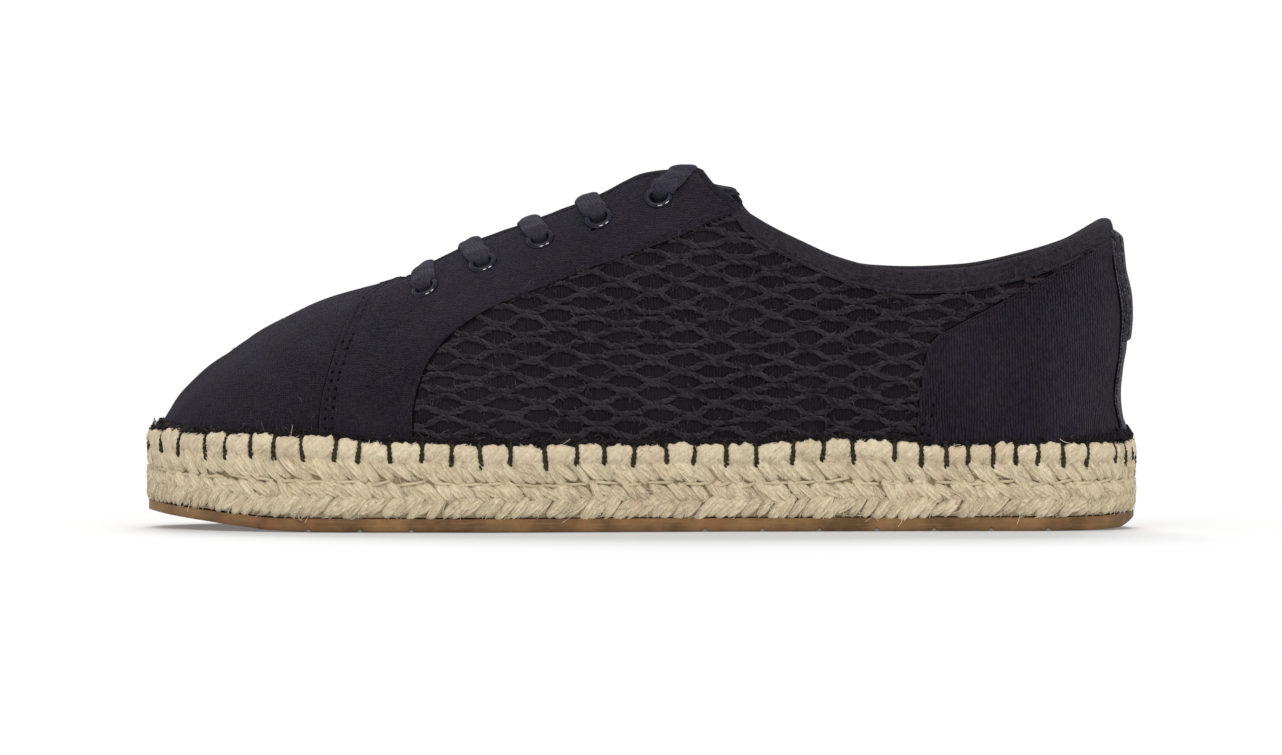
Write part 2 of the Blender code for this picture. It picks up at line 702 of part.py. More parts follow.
def make_lace_bar(number, finish):
    """One crossing of the flat lace: up out of an eyelet, over the eyestay and straight across the throat."""
    x, _, lean = EYELETS[number]
    arms = {}
    for side in (LATERAL, MEDIAL):
        shares, distances = crown_walk(x, side)
        reach = float(np.interp(-eyelet_seat(number, side)[2], -shares, distances))
        edge = float(np.interp(-rim_share(x, side), -shares, distances))
        stops = [(reach - gone, lift, width) for gone, lift, width in BAR_END]
        if stops[-1][0] - edge > 8.0:
            stops.append(((stops[-1][0] + edge) / 2, BAR_OVER_EDGE + 0.1, LACE_WIDTH))
        stops += [(edge + 1.6, BAR_OVER_EDGE, LACE_WIDTH), (edge - 0.6, BAR_OVER_EDGE - 0.2, LACE_WIDTH)]
        arms[side] = []
        for distance, lift, width in stops:
            here = x + lean * (1 - (distance / reach) ** 2) * min(1.0, (reach - distance) / 4.0)
            share = share_from_crown(here, side, distance)
            point = Vector(lifted(here, side, share, lift))
            forward = Vector(last_point(here - 1.5, side, share) - last_point(here + 1.5, side, share))
            arms[side].append((point, forward.normalized(), width))
    ends = arms[LATERAL][-1], arms[MEDIAL][-1]
    middle = (ends[0][0] + ends[1][0]) / 2 + Vector((0.25 * lean, 0.0, BAR_ARCH))
    path = arms[LATERAL] + [(middle, (ends[0][1] + ends[1][1]) / 2, LACE_WIDTH)] + arms[MEDIAL][::-1]
    rings = []
    for i, (centre, forward, width) in enumerate(path):
        along = (path[min(i + 1, len(path) - 1)][0] - path[max(i - 1, 0)][0]).normalized()
        wide = (forward - along * forward.dot(along)).normalized()
        deep = along.cross(wide)
        half, thin = width / 2, LACE_THICK / 2
        ring = [(-half, 0), (-half + 0.5, thin), (half - 0.5, thin), (half, 0), (half - 0.5, -thin), (-half + 0.5, -thin)]
        rings.append([tuple(centre + wide * a + deep * b) for a, b in ring])
    return tube(f"lace_bar_{number + 1}", rings, finish)


# ---------------------------------------------------------------- the shoe
def main():
    for old in list(bpy.data.objects):
        bpy.data.objects.remove(old)
    canvas = material("canvas", (0.024, 0.020, 0.028), 0.92)
    tape = material("binding_tape", (0.030, 0.027, 0.033), 0.9)
    rope = material("jute_rope", (0.53, 0.43, 0.29), 0.9)
    rubber = material("gum_rubber", (0.22, 0.12, 0.055), 0.6)
    sock = material("insole_cloth", (0.42, 0.35, 0.26), 0.95)
    metal = material("eyelet_metal", (0.05, 0.05, 0.075), 0.3, 1.0)
    cotton = material("lace_cotton", (0.044, 0.041, 0.050), 0.95)

    make_outsole(rubber)
    make_rope_sole(rope)
    make_insole(sock)
    upper = make_upper(canvas)
    make_tongue(canvas)
    holes = eyelet_cutter()
    cut_with(upper, holes)
    for side in (LATERAL, MEDIAL):
        cut_with(make_eyestay(side, canvas), holes)
        make_counter(side, canvas)
    make_binding(tape)
    make_heel_band("heel_strip", STRIP_HALF, 27.6, 82.0, 9, OVERLAY_GAP, 1.0, canvas)
    make_heel_band("pull_tab", STRIP_HALF - 1.0, 54.0, 81.0, 5, OVERLAY_GAP + 1.0 + GAP, 1.5, tape)
    make_eyelets(metal)
    for number in range(len(EYELETS)):
        make_lace_bar(number, cotton)


main()
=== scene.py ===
import math

import bmesh
import bpy
import numpy as np
from mathutils import Matrix, Vector


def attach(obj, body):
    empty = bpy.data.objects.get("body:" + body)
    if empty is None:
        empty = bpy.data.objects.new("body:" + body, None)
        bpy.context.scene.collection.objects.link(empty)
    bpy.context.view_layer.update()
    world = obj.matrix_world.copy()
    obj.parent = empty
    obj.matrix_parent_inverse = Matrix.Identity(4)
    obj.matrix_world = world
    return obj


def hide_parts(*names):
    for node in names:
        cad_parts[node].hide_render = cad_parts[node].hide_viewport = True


# A low canvas sneaker on a braided rope sole: left foot, toe to -X, outer side to -Y.
# Shapes are worked out in millimetres and each mesh is written in metres.
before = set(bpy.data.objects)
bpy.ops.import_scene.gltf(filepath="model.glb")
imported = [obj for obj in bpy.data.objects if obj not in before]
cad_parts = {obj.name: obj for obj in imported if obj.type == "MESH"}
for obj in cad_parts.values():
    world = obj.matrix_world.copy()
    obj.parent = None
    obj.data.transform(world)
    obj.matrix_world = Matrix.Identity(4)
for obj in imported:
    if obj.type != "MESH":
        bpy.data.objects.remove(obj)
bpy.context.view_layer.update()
print("frame loaded")

mm = 0.001
outer, inner = -1, 1
sideNames = {outer: "Outer", inner: "Inner"}
nodeSides = {outer: "lateral", inner: "medial"}


# small helpers: tables, noise, meshes
def curveThrough(xs, ys):
    # a curve through table rows that never overshoots them
    xs, ys = np.array(xs, float), np.array(ys, float)
    run, chord = np.diff(xs), np.diff(ys) / np.diff(xs)
    slope = np.zeros_like(ys)
    slope[0], slope[-1] = chord[0], chord[-1]
    for i in range(1, len(xs) - 1):
        if chord[i - 1] * chord[i] > 0:
            before, after = 2 * run[i] + run[i - 1], run[i] + 2 * run[i - 1]
            slope[i] = (before + after) / (before / chord[i - 1] + after / chord[i])

    def at(x):
        x = np.clip(np.asarray(x, float), xs[0], xs[-1])
        i = np.minimum(np.searchsorted(xs, x, side="right") - 1, len(xs) - 2)
        t = (x - xs[i]) / run[i]
        rise = ys[i + 1] - ys[i]
        bend = run[i] * t * (1 - t) * (slope[i] * (1 - t) - slope[i + 1] * t)
        return ys[i] + rise * t * t * (3 - 2 * t) + bend

    return at


def tableOf(names, *rows):
    columns = list(zip(*rows))
    made = {n: curveThrough(columns[0], c) for n, c in zip(names.split()[1:], columns[1:])}
    made["keys"] = np.array(columns[0], float)
    return made


def smoothStep(x, low, high):
    t = np.clip((np.asarray(x, float) - low) / (high - low), 0, 1)
    return t * t * (3 - 2 * t)


def matched(*values):
    # numbers and grids of numbers, spread to one shape
    return np.broadcast_arrays(*[np.asarray(value, float) for value in values])


def unit(vectors):
    return vectors / np.linalg.norm(vectors, axis=-1, keepdims=True)


def distanceAlong(points, axis=0):
    # distance walked along a line of points, or across a grid of them, at each point
    walked = np.cumsum(np.linalg.norm(np.diff(points, axis=axis), axis=-1), axis=axis)
    return np.insert(walked, 0, 0, axis=axis)


def flatSpots(x, y=0.0):
    # points with no height, to read softNoise at
    return np.stack([x, x * 0 + y, x * 0], -1)


def softNoise(points, size, seed, waves=9):
    # gentle unevenness: a few crossed waves, about -1 to 1, of about that size
    rng = np.random.default_rng(seed)
    total = np.zeros(points.shape[:-1])
    for _ in range(waves):
        direction = rng.normal(size=3)
        direction *= rng.uniform(0.6, 1.4) * 2 * math.pi / size / np.linalg.norm(direction)
        total += np.sin(points @ direction + rng.uniform(0, 6.28))
    return total / math.sqrt(waves)


def gridQuads(rows, columns, closed=False, start=0):
    r = np.arange(rows - 1)[:, None]
    c = np.arange(columns if closed else columns - 1)[None, :]
    n = (c + 1) % columns
    quads = np.stack([r * columns + c, r * columns + n, (r + 1) * columns + n, (r + 1) * columns + c], -1)
    return (quads.reshape(-1, 4) + start).tolist()


def tubeFaces(rings, sides):
    # a closed tube of rings of points, with a flat cap at both ends
    caps = [tuple(range(sides))[::-1], tuple(range((rings - 1) * sides, rings * sides))]
    return gridQuads(rings, sides, closed=True) + caps


def keepValues(mesh, label, values):
    # one number, or three, kept at each point of a mesh
    values = np.asarray(values, np.float32)
    kind, field = ("FLOAT", "value") if values.ndim == 1 else ("FLOAT_VECTOR", "vector")
    mesh.attributes.new(label, kind, "POINT").data.foreach_set(field, values.ravel())


def makePiece(name, points, faces, finishes, uv=None, parts=None, weld=0.02, outward=False, creaseAngle=50,
              tones=None):
    # one object from points in mm; uv is in metres, one pair for each point, and tones one value
    mesh = bpy.data.meshes.new(name)
    mesh.from_pydata((np.asarray(points, float).reshape(-1, 3) * mm).tolist(), [], faces)
    if uv is not None:
        layer = mesh.uv_layers.new(name="cloth")
        corners = np.zeros(len(mesh.loops), int)
        mesh.loops.foreach_get("vertex_index", corners)
        layer.data.foreach_set("uv", np.asarray(uv, float).reshape(-1, 2)[corners].ravel())
    if tones is not None:
        keepValues(mesh, "tone", np.ravel(tones))
    for finish in finishes:
        mesh.materials.append(finish)
    if parts is not None:
        mesh.polygons.foreach_set("material_index", np.asarray(parts, np.int32))
    shape = bmesh.new()
    shape.from_mesh(mesh)
    if weld:
        bmesh.ops.remove_doubles(shape, verts=shape.verts, dist=weld * mm)
        bmesh.ops.dissolve_degenerate(shape, edges=shape.edges, dist=0.001 * mm)
    if not outward:
        bmesh.ops.recalc_face_normals(shape, faces=shape.faces)
    shape.to_mesh(mesh)
    shape.free()
    mesh.shade_smooth()
    mesh.set_sharp_from_angle(angle=math.radians(creaseAngle))
    made = bpy.data.objects.new(name, mesh)
    bpy.context.scene.collection.objects.link(made)
    return made


def makeSheet(name, under, top, cloth, finish, keep=slice(None)):
    # a sheet between two grids of points, closed all round its edges; keep says which faces stay
    rows, columns = under.shape[:2]
    count = rows * columns
    quads = np.array(gridQuads(rows, columns))[keep]
    loop = np.arange(count).reshape(rows, columns)
    rim = np.concatenate([loop[:, 0], loop[-1, 1:], loop[-2::-1, -1], loop[0, -2:0:-1]]).tolist()
    walls = [(a, b, b + count, a + count) for a, b in zip(rim, rim[1:] + rim[:1])]
    faces = (quads + count).tolist() + quads[:, ::-1].tolist() + walls
    points = np.concatenate([under.reshape(-1, 3), top.reshape(-1, 3)])
    return makePiece(name, points, faces, [finish], np.concatenate([cloth.reshape(-1, 2)] * 2))


def finishPiece(piece, slotName, *nodes):
    if nodes:
        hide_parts(*nodes)
    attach(piece, "root")
    return piece


def settle(made):
    # live modifiers become plain mesh
    depsgraph = bpy.context.evaluated_depsgraph_get()
    mesh = bpy.data.meshes.new_from_object(
        made.evaluated_get(depsgraph), preserve_all_data_layers=True, depsgraph=depsgraph
    )
    mesh.name = made.name
    made.modifiers.clear()
    made.data = mesh
    return made


# the last: the form that the upper is pulled over
sole = {
    "length": 288.0, "toeReach": 62.0, "toePower": 2.1, "heelReach": 36.0, "heelPower": 2.2,
    "upperInset": 3.0, "outsoleInset": 0.5, "insoleInset": 7.0, "outsoleThick": 4.0, "gap": 0.3,
    "footGap": 0.5,
}
plan = tableOf(
    "x axis half",
    (-144, 12.2, 50.0), (-115, 5.7, 50.5), (-85, 0.7, 51.0), (-50, -0.8, 51.0), (-10, -2.8, 43.5),
    (35, -4.3, 36.0), (75, -1.3, 35.2), (110, 0.7, 36.0), (144, 1.2, 36.5),
)
ropeTop = curveThrough(
    (-144, -139, -132, -125, -100, -70, -20, 32, 50, 68, 84, 119, 144),
    (28.2, 28.1, 27.7, 27.5, 27.4, 25.7, 24.9, 24.8, 26.0, 26.1, 24.9, 24.7, 24.9),
)
last = tableOf(
    "x crown shift flat reach slope rise swell",
    (-141.0, 29.0, 0.00, 0.00, 0.62, 0, 0.50, 0.00),
    (-138.2, 32.6, 0.00, 0.00, 0.62, 0, 0.50, 0.00),
    (-132.8, 39.8, 0.02, 0.00, 0.62, 0, 0.50, 0.01),
    (-126.9, 46.2, 0.03, 0.00, 0.62, 0, 0.50, 0.02),
    (-118.8, 52.1, 0.04, 0.00, 0.60, 0, 0.48, 0.03),
    (-109.7, 57.9, 0.05, 0.00, 0.60, 0, 0.46, 0.04),
    (-101.0, 62.7, 0.07, 0.00, 0.58, 0, 0.44, 0.04),
    (-91.9, 66.7, 0.08, 0.00, 0.56, 0, 0.42, 0.05),
    (-81.2, 69.7, 0.10, 0.00, 0.54, 0, 0.40, 0.05),
    (-70.0, 72.6, 0.11, 0.00, 0.52, 0, 0.38, 0.05),
    (-58.4, 79.4, 0.12, 0.00, 0.50, 0, 0.36, 0.05),
    (-47.0, 84.8, 0.13, 0.00, 0.50, 0, 0.36, 0.05),
    (-28.0, 91.9, 0.14, 0.00, 0.52, 0, 0.36, 0.05),
    (-12.0, 98.2, 0.15, 0.02, 0.54, 0, 0.36, 0.05),
    (3.0, 105.0, 0.14, 0.05, 0.58, 4, 0.36, 0.05),
    (18.0, 106.4, 0.12, 0.12, 0.66, 10, 0.37, 0.04),
    (35.0, 110.5, 0.08, 0.25, 0.75, 28, 0.38, 0.03),
    (60.0, 116.0, 0.04, 0.42, 0.80, 50, 0.40, 0.03),
    (100.0, 118.0, 0.00, 0.52, 0.80, 62, 0.40, 0.04),
    (141.0, 118.0, 0.00, 0.55, 0.80, 66, 0.40, 0.04),
)
topLine = tableOf(
    "x -1 1",
    (13.0, 108.0, 107.0), (18.3, 103.7, 102.4), (21.2, 100.3, 99.6), (24.0, 98.2, 99.0), (27.4, 95.9, 98.4),
    (30.2, 92.3, 92.4), (33.7, 89.9, 88.7), (38.0, 87.4, 85.9), (46.2, 83.4, 82.0), (57.2, 78.6, 77.3),
    (67.0, 76.0, 75.2), (78.7, 74.8, 74.7), (93.0, 75.3, 75.3), (112.0, 78.9, 78.7), (126.0, 83.3, 82.7),
    (136.0, 87.4, 87.2), (141.0, 89.3, 89.3),
)
heelBack = curveThrough(
    (26, 29, 33, 38, 45, 52, 60, 70, 78, 85, 90, 118),
    (0.9, 1.9, 3.1, 3.6, 3.1, 2.3, 1.9, 2.4, 3.4, 3.9, 5.3, 13.0),
)
# each eyelet's x and z, and how far its lace bar leans towards the heel at the crown
eyelets = (
    (-62.2, 68.9, -1.0), (-45.6, 76.2, -4.6), (-28.9, 83.1, -4.0), (-11.9, 89.2, -4.2), (5.4, 95.6, 8.0),
)
eyestayFront = curveThrough(
    (25, 35, 42, 54, 60, 64.5, 69, 72, 76), (-93.4, -92.8, -91.6, -88.2, -85.9, -83.5, -79.8, -76.0, -73.0)
)
eyestayRear = tableOf(
    "x z",
    (-66.4, 25.0), (-65.9, 34.8), (-63.9, 43.3), (-61.6, 48.8), (-56.0, 56.0), (-46.7, 63.0), (-34.0, 69.0),
    (-24.4, 72.8), (-10.7, 78.4), (6.4, 84.6), (21.8, 90.9), (30.0, 93.8),
)
counterFront = tableOf(
    "x z",
    (79.3, 25.0), (81.2, 39.8), (82.5, 49.6), (84.5, 55.2), (91.7, 60.0), (108.6, 68.5), (122.0, 75.5),
    (131.0, 80.6),
)
throat = {"from": -70.0}
wall = {"thick": 1.8, "overlayGap": 0.25, "overlayThick": 1.35, "eyeletHole": 3.0}
binding = {"height": 6.2, "from": 24.5}


def roundEnd(distance, reach, power):
    share = np.clip(np.asarray(distance, float), 0, reach) / reach
    return (1 - (1 - share) ** power) ** (1 / power)


def halfWidth(x, inset):
    half = sole["length"] / 2
    toe = roundEnd(x + half - inset, sole["toeReach"] - inset, sole["toePower"])
    heel = roundEnd(half - inset - x, sole["heelReach"] - inset, sole["heelPower"])
    return (plan["half"](x) - inset) * toe * heel


toeSpring = curveThrough(
    (-144, -137, -131, -126, -119, -107, -95, 0), (5.3, 4.1, 3.25, 2.65, 1.75, 0.45, 0, 0)
)


def soleBottom(x):
    return toeSpring(x) + 1.2 * np.maximum(0, (x - 126) / 18) ** 2


def outsoleTop(x):
    return soleBottom(x) + sole["outsoleThick"] - 1.2 * np.maximum(0, (-95 - x) / 49)


# the rope sole's outline, walked once round: toe tip, outer side, heel, inner side
stitch = {
    "pitch": curveThrough((-144, -100, -86, 72, 84, 144), (7.0, 7.0, 8.8, 8.8, 7.0, 7.0)),
    "jitter": 0.09, "seed": 5, "toe": 14.0,
    # the given places of the outer side's stitches, by x
    "outer": (
        -140.0, -134.6, -127.1, -120.9, -113.6, -106.7, -98.7, -88.3, -81.6, -72.9, -63.3, -54.7, -46.7,
        -37.7, -27.9, -18.3, -10.5, -1.7, 7.5, 15.7, 24.8, 33.4, 44.3, 53.1, 61.3, 73.7, 81.3, 88.5, 94.9,
        102.2, 108.6, 115.5, 122.5, 130.1, 138.2,
    ),
}


def ropeOutline():
    half = sole["length"] / 2
    xs = -half * np.cos(np.linspace(0, math.pi, 1400))
    line = [np.stack([xs, plan["axis"](xs) + side * halfWidth(xs, 0)], -1) for side in (outer, inner)]
    line = np.concatenate([line[0], line[1][-2:0:-1], line[0][:1]])
    gone = distanceAlong(line)
    even = np.linspace(0, gone[-1], 2801)
    line = np.stack([np.interp(even, gone, line[:, k]) for k in (0, 1)], -1)
    along = np.roll(line[:-1], -6, axis=0) - np.roll(line[:-1], 6, axis=0)
    along = unit(np.concatenate([along, along[:1]]))
    return even, np.concatenate([line, along], 1)


ropeWalk, ropeLine = ropeOutline()
ropeRound = ropeWalk[-1]


def ropeAt(gone):
    # x, y and the direction along the rope's widest line, at a distance walked
    gone = np.mod(gone, ropeRound)
    return np.stack([np.interp(gone, ropeWalk, ropeLine[:, k]) for k in range(4)], -1)


def ropePoint(gone, height, outwards):
    # a point on the rope's side: share of its height, and distance outside the widest line
    here = ropeAt(gone)
    low = outsoleTop(here[..., 0]) + sole["gap"]
    z = low + (ropeTop(here[..., 0]) - low) * height
    away = np.stack([here[..., 3], -here[..., 2]], -1)
    moved = here[..., :2] + away * np.asarray(outwards)[..., None]
    return np.concatenate([moved, z[..., None]], -1), here[..., 2:4], away


def ropeHeight(x):
    return ropeTop(x) - outsoleTop(x) - sole["gap"]


def stitchPlaces():
    rng = np.random.default_rng(stitch["seed"])
    near = ropeLine[:-1, 1] < plan["axis"](ropeLine[:-1, 0])
    placed = np.interp(stitch["outer"], ropeLine[:-1, 0][near], ropeWalk[:-1][near])
    count = round(placed[0] / stitch["toe"])
    found = (placed[0] * (np.arange(count) + 0.5) / (count + 0.5)).tolist() + placed.tolist()
    gone = found[-1]
    while gone < ropeRound - 11.5:
        gone += float(stitch["pitch"](ropeAt(gone)[0])) * (1 + stitch["jitter"] * rng.normal())
        found.append(gone)
    return np.array(found)


stitchGone = stitchPlaces()


def pucker(points, side):
    # 1 halfway between two blanket stitches and -1 at a stitch
    mask = (ropeLine[:-1, 1] - plan["axis"](ropeLine[:-1, 0])) * side > 0
    order = np.argsort(ropeLine[:-1, 0][mask])
    gone = np.interp(points[..., 0], ropeLine[:-1, 0][mask][order], ropeWalk[:-1][mask][order])
    return -np.cos(2 * math.pi * np.interp(gone, stitchGone, np.arange(len(stitchGone))))


footReach = sole["length"] / 2 - sole["upperInset"]
footXs = -footReach * np.cos(np.linspace(0, math.pi, 4000))
footGone = distanceAlong(np.stack([footXs, halfWidth(footXs, sole["upperInset"])], -1))
footGone /= footGone[-1]


def stationAt(way):
    return np.interp(way, footGone, footXs)


def wayTo(x):
    return np.interp(x, footXs, footGone)


def sectionCurve(x, side, t):
    half = halfWidth(x, sole["upperInset"])
    footZ = ropeTop(x) + sole["footGap"]
    crownZ = np.maximum(last["crown"](x), footZ)
    crownQ = half * (last["flat"](x) + side * last["shift"](x))
    reach = last["reach"](x) * (half - crownQ)
    slope = np.radians(last["slope"](x))
    q = (half, half * (1 + last["swell"](x)), crownQ + reach * np.cos(slope), crownQ)
    z = (footZ, footZ + last["rise"](x) * (crownZ - footZ), crownZ - reach * np.sin(slope), crownZ)
    blend = ((1 - t) ** 3, 3 * t * (1 - t) ** 2, 3 * t * t * (1 - t), t**3)
    return sum(a * b for a, b in zip(blend, q)), sum(a * b for a, b in zip(blend, z))


# creases and hollows: side (0 is both), from x, z to x, z, half width, depth (above 0 is a ridge)
creases = (
    (0, -133, 44, -108, 33, 6.0, -0.35),
    (outer, -118, 52, -96, 44, 4.0, -0.30),
    (outer, -104, 40, -96, 30, 3.2, 0.28),
    (0, -100, 60, -86, 50, 4.5, -0.40),
    (outer, -84, 64, -72, 50, 3.6, -0.38),
    (outer, -78, 60, -68, 46, 2.6, 0.30),
    (inner, -86, 62, -74, 44, 4.0, -0.40),
    (0, -56, 74, -48, 66, 2.8, -0.32),
    (0, -39, 80, -31, 72, 3.0, -0.30),
    (0, -22, 87, -14, 78, 3.2, -0.34),
    (0, -4, 93, 6, 85, 3.0, -0.26),
    (0, 14, 98, 20, 92, 2.8, -0.30),
    (outer, -40, 52, -20, 38, 7.0, -0.45),
    (inner, -38, 54, -20, 36, 7.0, -0.50),
    (outer, -4, 66, 18, 44, 8.0, 0.40),
    (0, 36, 74, 52, 56, 7.0, -0.55),
    (0, 60, 62, 78, 36, 7.0, 0.35),
    (outer, 96, 60, 104, 36, 5.0, -0.35),
    (outer, 112, 66, 120, 40, 4.5, 0.28),
    (inner, 100, 62, 110, 34, 6.0, -0.40),
    (outer, 124, 74, 131, 46, 3.4, -0.30),
)


def pressed(points, side):
    x, z = points[..., 0], points[..., 2]
    total = 0.34 * softNoise(points, 46, 3 + side) + 0.14 * softNoise(points, 17, 8 + side)
    for which, x0, z0, x1, z1, width, depth in creases:
        if which in (0, side):
            run = np.array((x1 - x0, z1 - z0))
            t = np.clip(((x - x0) * run[0] + (z - z0) * run[1]) / (run @ run), 0, 1)
            away = np.hypot(x - x0 - t * run[0], z - z0 - t * run[1]) / width
            total += depth * np.exp(-away * away) * (0.55 + 0.45 * np.sin(math.pi * np.clip(t, 0.05, 0.95)))
    lift = z - ropeTop(x) - sole["footGap"]
    total = total * smoothStep(lift, 0.5, 7)
    drawnIn = 0.34 * pucker(points, side) * np.exp(-(((lift - 2.6) / 2.4) ** 2))
    total += drawnIn - 0.5 * np.exp(-((lift / 1.3) ** 2))
    return total * smoothStep(x, -141, -134)


lastWays, lastShares = np.linspace(0, 1, 1001), np.linspace(0, 1, 181)


def buildLast():
    # for each side a table over way and share: point, outward direction, cloth place
    tables = {}
    for side in (outer, inner):
        x = np.broadcast_to(stationAt(lastWays)[:, None], (len(lastWays), len(lastShares)))
        q, z = sectionCurve(x, side, lastShares[None, :])
        backward = np.maximum(0, (x - 60) / 81) ** 2
        tables[side] = np.stack([x - heelBack(z) * backward, plan["axis"](x) + side * q, z], -1)
    smooth = dict(tables)  # the cloth's own map is measured before it is creased
    for press in (True, False):
        normals = {}
        for side, points in tables.items():
            normal = np.cross(np.gradient(points, axis=0), np.gradient(points, axis=1)) * -side
            normals[side] = normal / np.maximum(np.linalg.norm(normal, axis=-1, keepdims=True), 1e-9)
        for end, near in ((slice(0, 3), 3), (slice(-1, None), -2)):
            both = normals[outer][near] + normals[inner][near]
            both[:, 1] *= 0.1
            both = unit(both)
            normals[outer][end], normals[inner][end] = both, both
        if press:
            tables = {s: tables[s] + normals[s] * pressed(tables[s], s)[..., None] for s in tables}
    made = {}
    for side, points in tables.items():
        along, up = distanceAlong(smooth[side], 0), distanceAlong(smooth[side], 1)
        origin = int(round(wayTo(throat["from"]) * (len(lastWays) - 1)))
        cloth = np.stack([(along - along[origin]) * mm, up * mm], -1)
        made[side] = np.concatenate([points, normals[side], cloth], -1)
    return made


lastTables = buildLast()


def readLast(side, way, share):
    table = lastTables[side]
    way, share = matched(way, share)
    a = np.clip(way, 0, 1) * (len(lastWays) - 1)
    b = np.clip(share, 0, 1) * (len(lastShares) - 1)
    i = np.minimum(a.astype(int), len(lastWays) - 2)
    j = np.minimum(b.astype(int), len(lastShares) - 2)
    fa, fb = (a - i)[..., None], (b - j)[..., None]
    low = table[i, j] * (1 - fa) + table[i + 1, j] * fa
    high = table[i, j + 1] * (1 - fa) + table[i + 1, j + 1] * fa
    return low * (1 - fb) + high * fb


def onLast(side, way, share, lift=0.0):
    # point, outward direction and cloth place, lifted off the last
    found = readLast(side, way, share)
    lift = np.broadcast_to(np.asarray(lift, float), found.shape[:-1])[..., None]
    normal = unit(found[..., 3:6])
    return found[..., :3] + normal * lift, normal, found[..., 6:8]


def shareAtHeight(side, way, z):
    way, z = matched(way, z)
    low, high = np.zeros(way.shape), np.ones(way.shape)
    for _ in range(18):
        middle = (low + high) / 2
        under = readLast(side, way, middle)[..., 2] < z
        low, high = np.where(under, middle, low), np.where(under, high, middle)
    return (low + high) / 2


def rimShare(side, way):
    x = stationAt(way)
    crown = np.maximum(last["crown"](x), ropeTop(x) + sole["footGap"])
    rimZ = crown - 2.3 * np.clip((x - throat["from"]) / 6, 0, 1)
    rimZ = np.where(x > topLine["keys"][0], np.minimum(rimZ, topLine[str(side)](x)), rimZ)
    return np.where(x <= throat["from"], 1.0, shareAtHeight(side, way, rimZ))


print("last built")


# materials
def addNode(tree, kind, inputs=(), **settings):
    # inputs pairs a socket's number or name with a value or another node's output
    node = tree.nodes.new(kind)
    for key, value in settings.items():
        setattr(node, key, value)
    for key, value in dict(inputs).items():
        if isinstance(value, bpy.types.NodeSocket):
            tree.links.new(value, node.inputs[key])
        else:
            node.inputs[key].default_value = value
    return node


def calc(tree, operation, a, b=0.0, c=0.0, clamp=False):
    node = addNode(tree, "ShaderNodeMath", {0: a, 1: b, 2: c}, operation=operation, use_clamp=clamp)
    return node.outputs[0]


def calcVector(tree, operation, a, b):
    second = "Scale" if operation == "SCALE" else 1
    return addNode(tree, "ShaderNodeVectorMath", {0: a, second: b}, operation=operation).outputs[0]


def remap(tree, value, low, high, newLow=0.0, newHigh=1.0):
    inputs = {"Value": value, "From Min": low, "From Max": high, "To Min": newLow, "To Max": newHigh}
    return addNode(tree, "ShaderNodeMapRange", inputs).outputs["Result"]


def mixColours(tree, share, a, b, blend="MIX"):
    a, b = [(*colour, 1.0) if isinstance(colour, tuple) else colour for colour in (a, b)]
    inputs = {0: share, 6: a, 7: b}
    return addNode(tree, "ShaderNodeMix", inputs, data_type="RGBA", blend_type=blend).outputs[2]


def noiseOf(tree, vector, scale, detail, roughness=0.5, stretch=None, distortion=0.0):
    if stretch:
        vector = addNode(tree, "ShaderNodeMapping", {"Vector": vector, "Scale": stretch}).outputs[0]
    inputs = {"Vector": vector, "Scale": scale, "Detail": detail, "Roughness": roughness,
              "Distortion": distortion}
    return addNode(tree, "ShaderNodeTexNoise", inputs).outputs["Fac"]


def startTree(kind, name, inputs, outputs):
    tree = bpy.data.node_groups.new(name, kind + "NodeTree")
    for label, socket in outputs:
        tree.interface.new_socket(label, in_out="OUTPUT", socket_type="NodeSocket" + socket)
    for label, socket, value in inputs:
        made = tree.interface.new_socket(label, in_out="INPUT", socket_type="NodeSocket" + socket)
        if value is not None:
            made.default_value = value
    return tree, tree.nodes.new("NodeGroupInput").outputs, tree.nodes.new("NodeGroupOutput").inputs


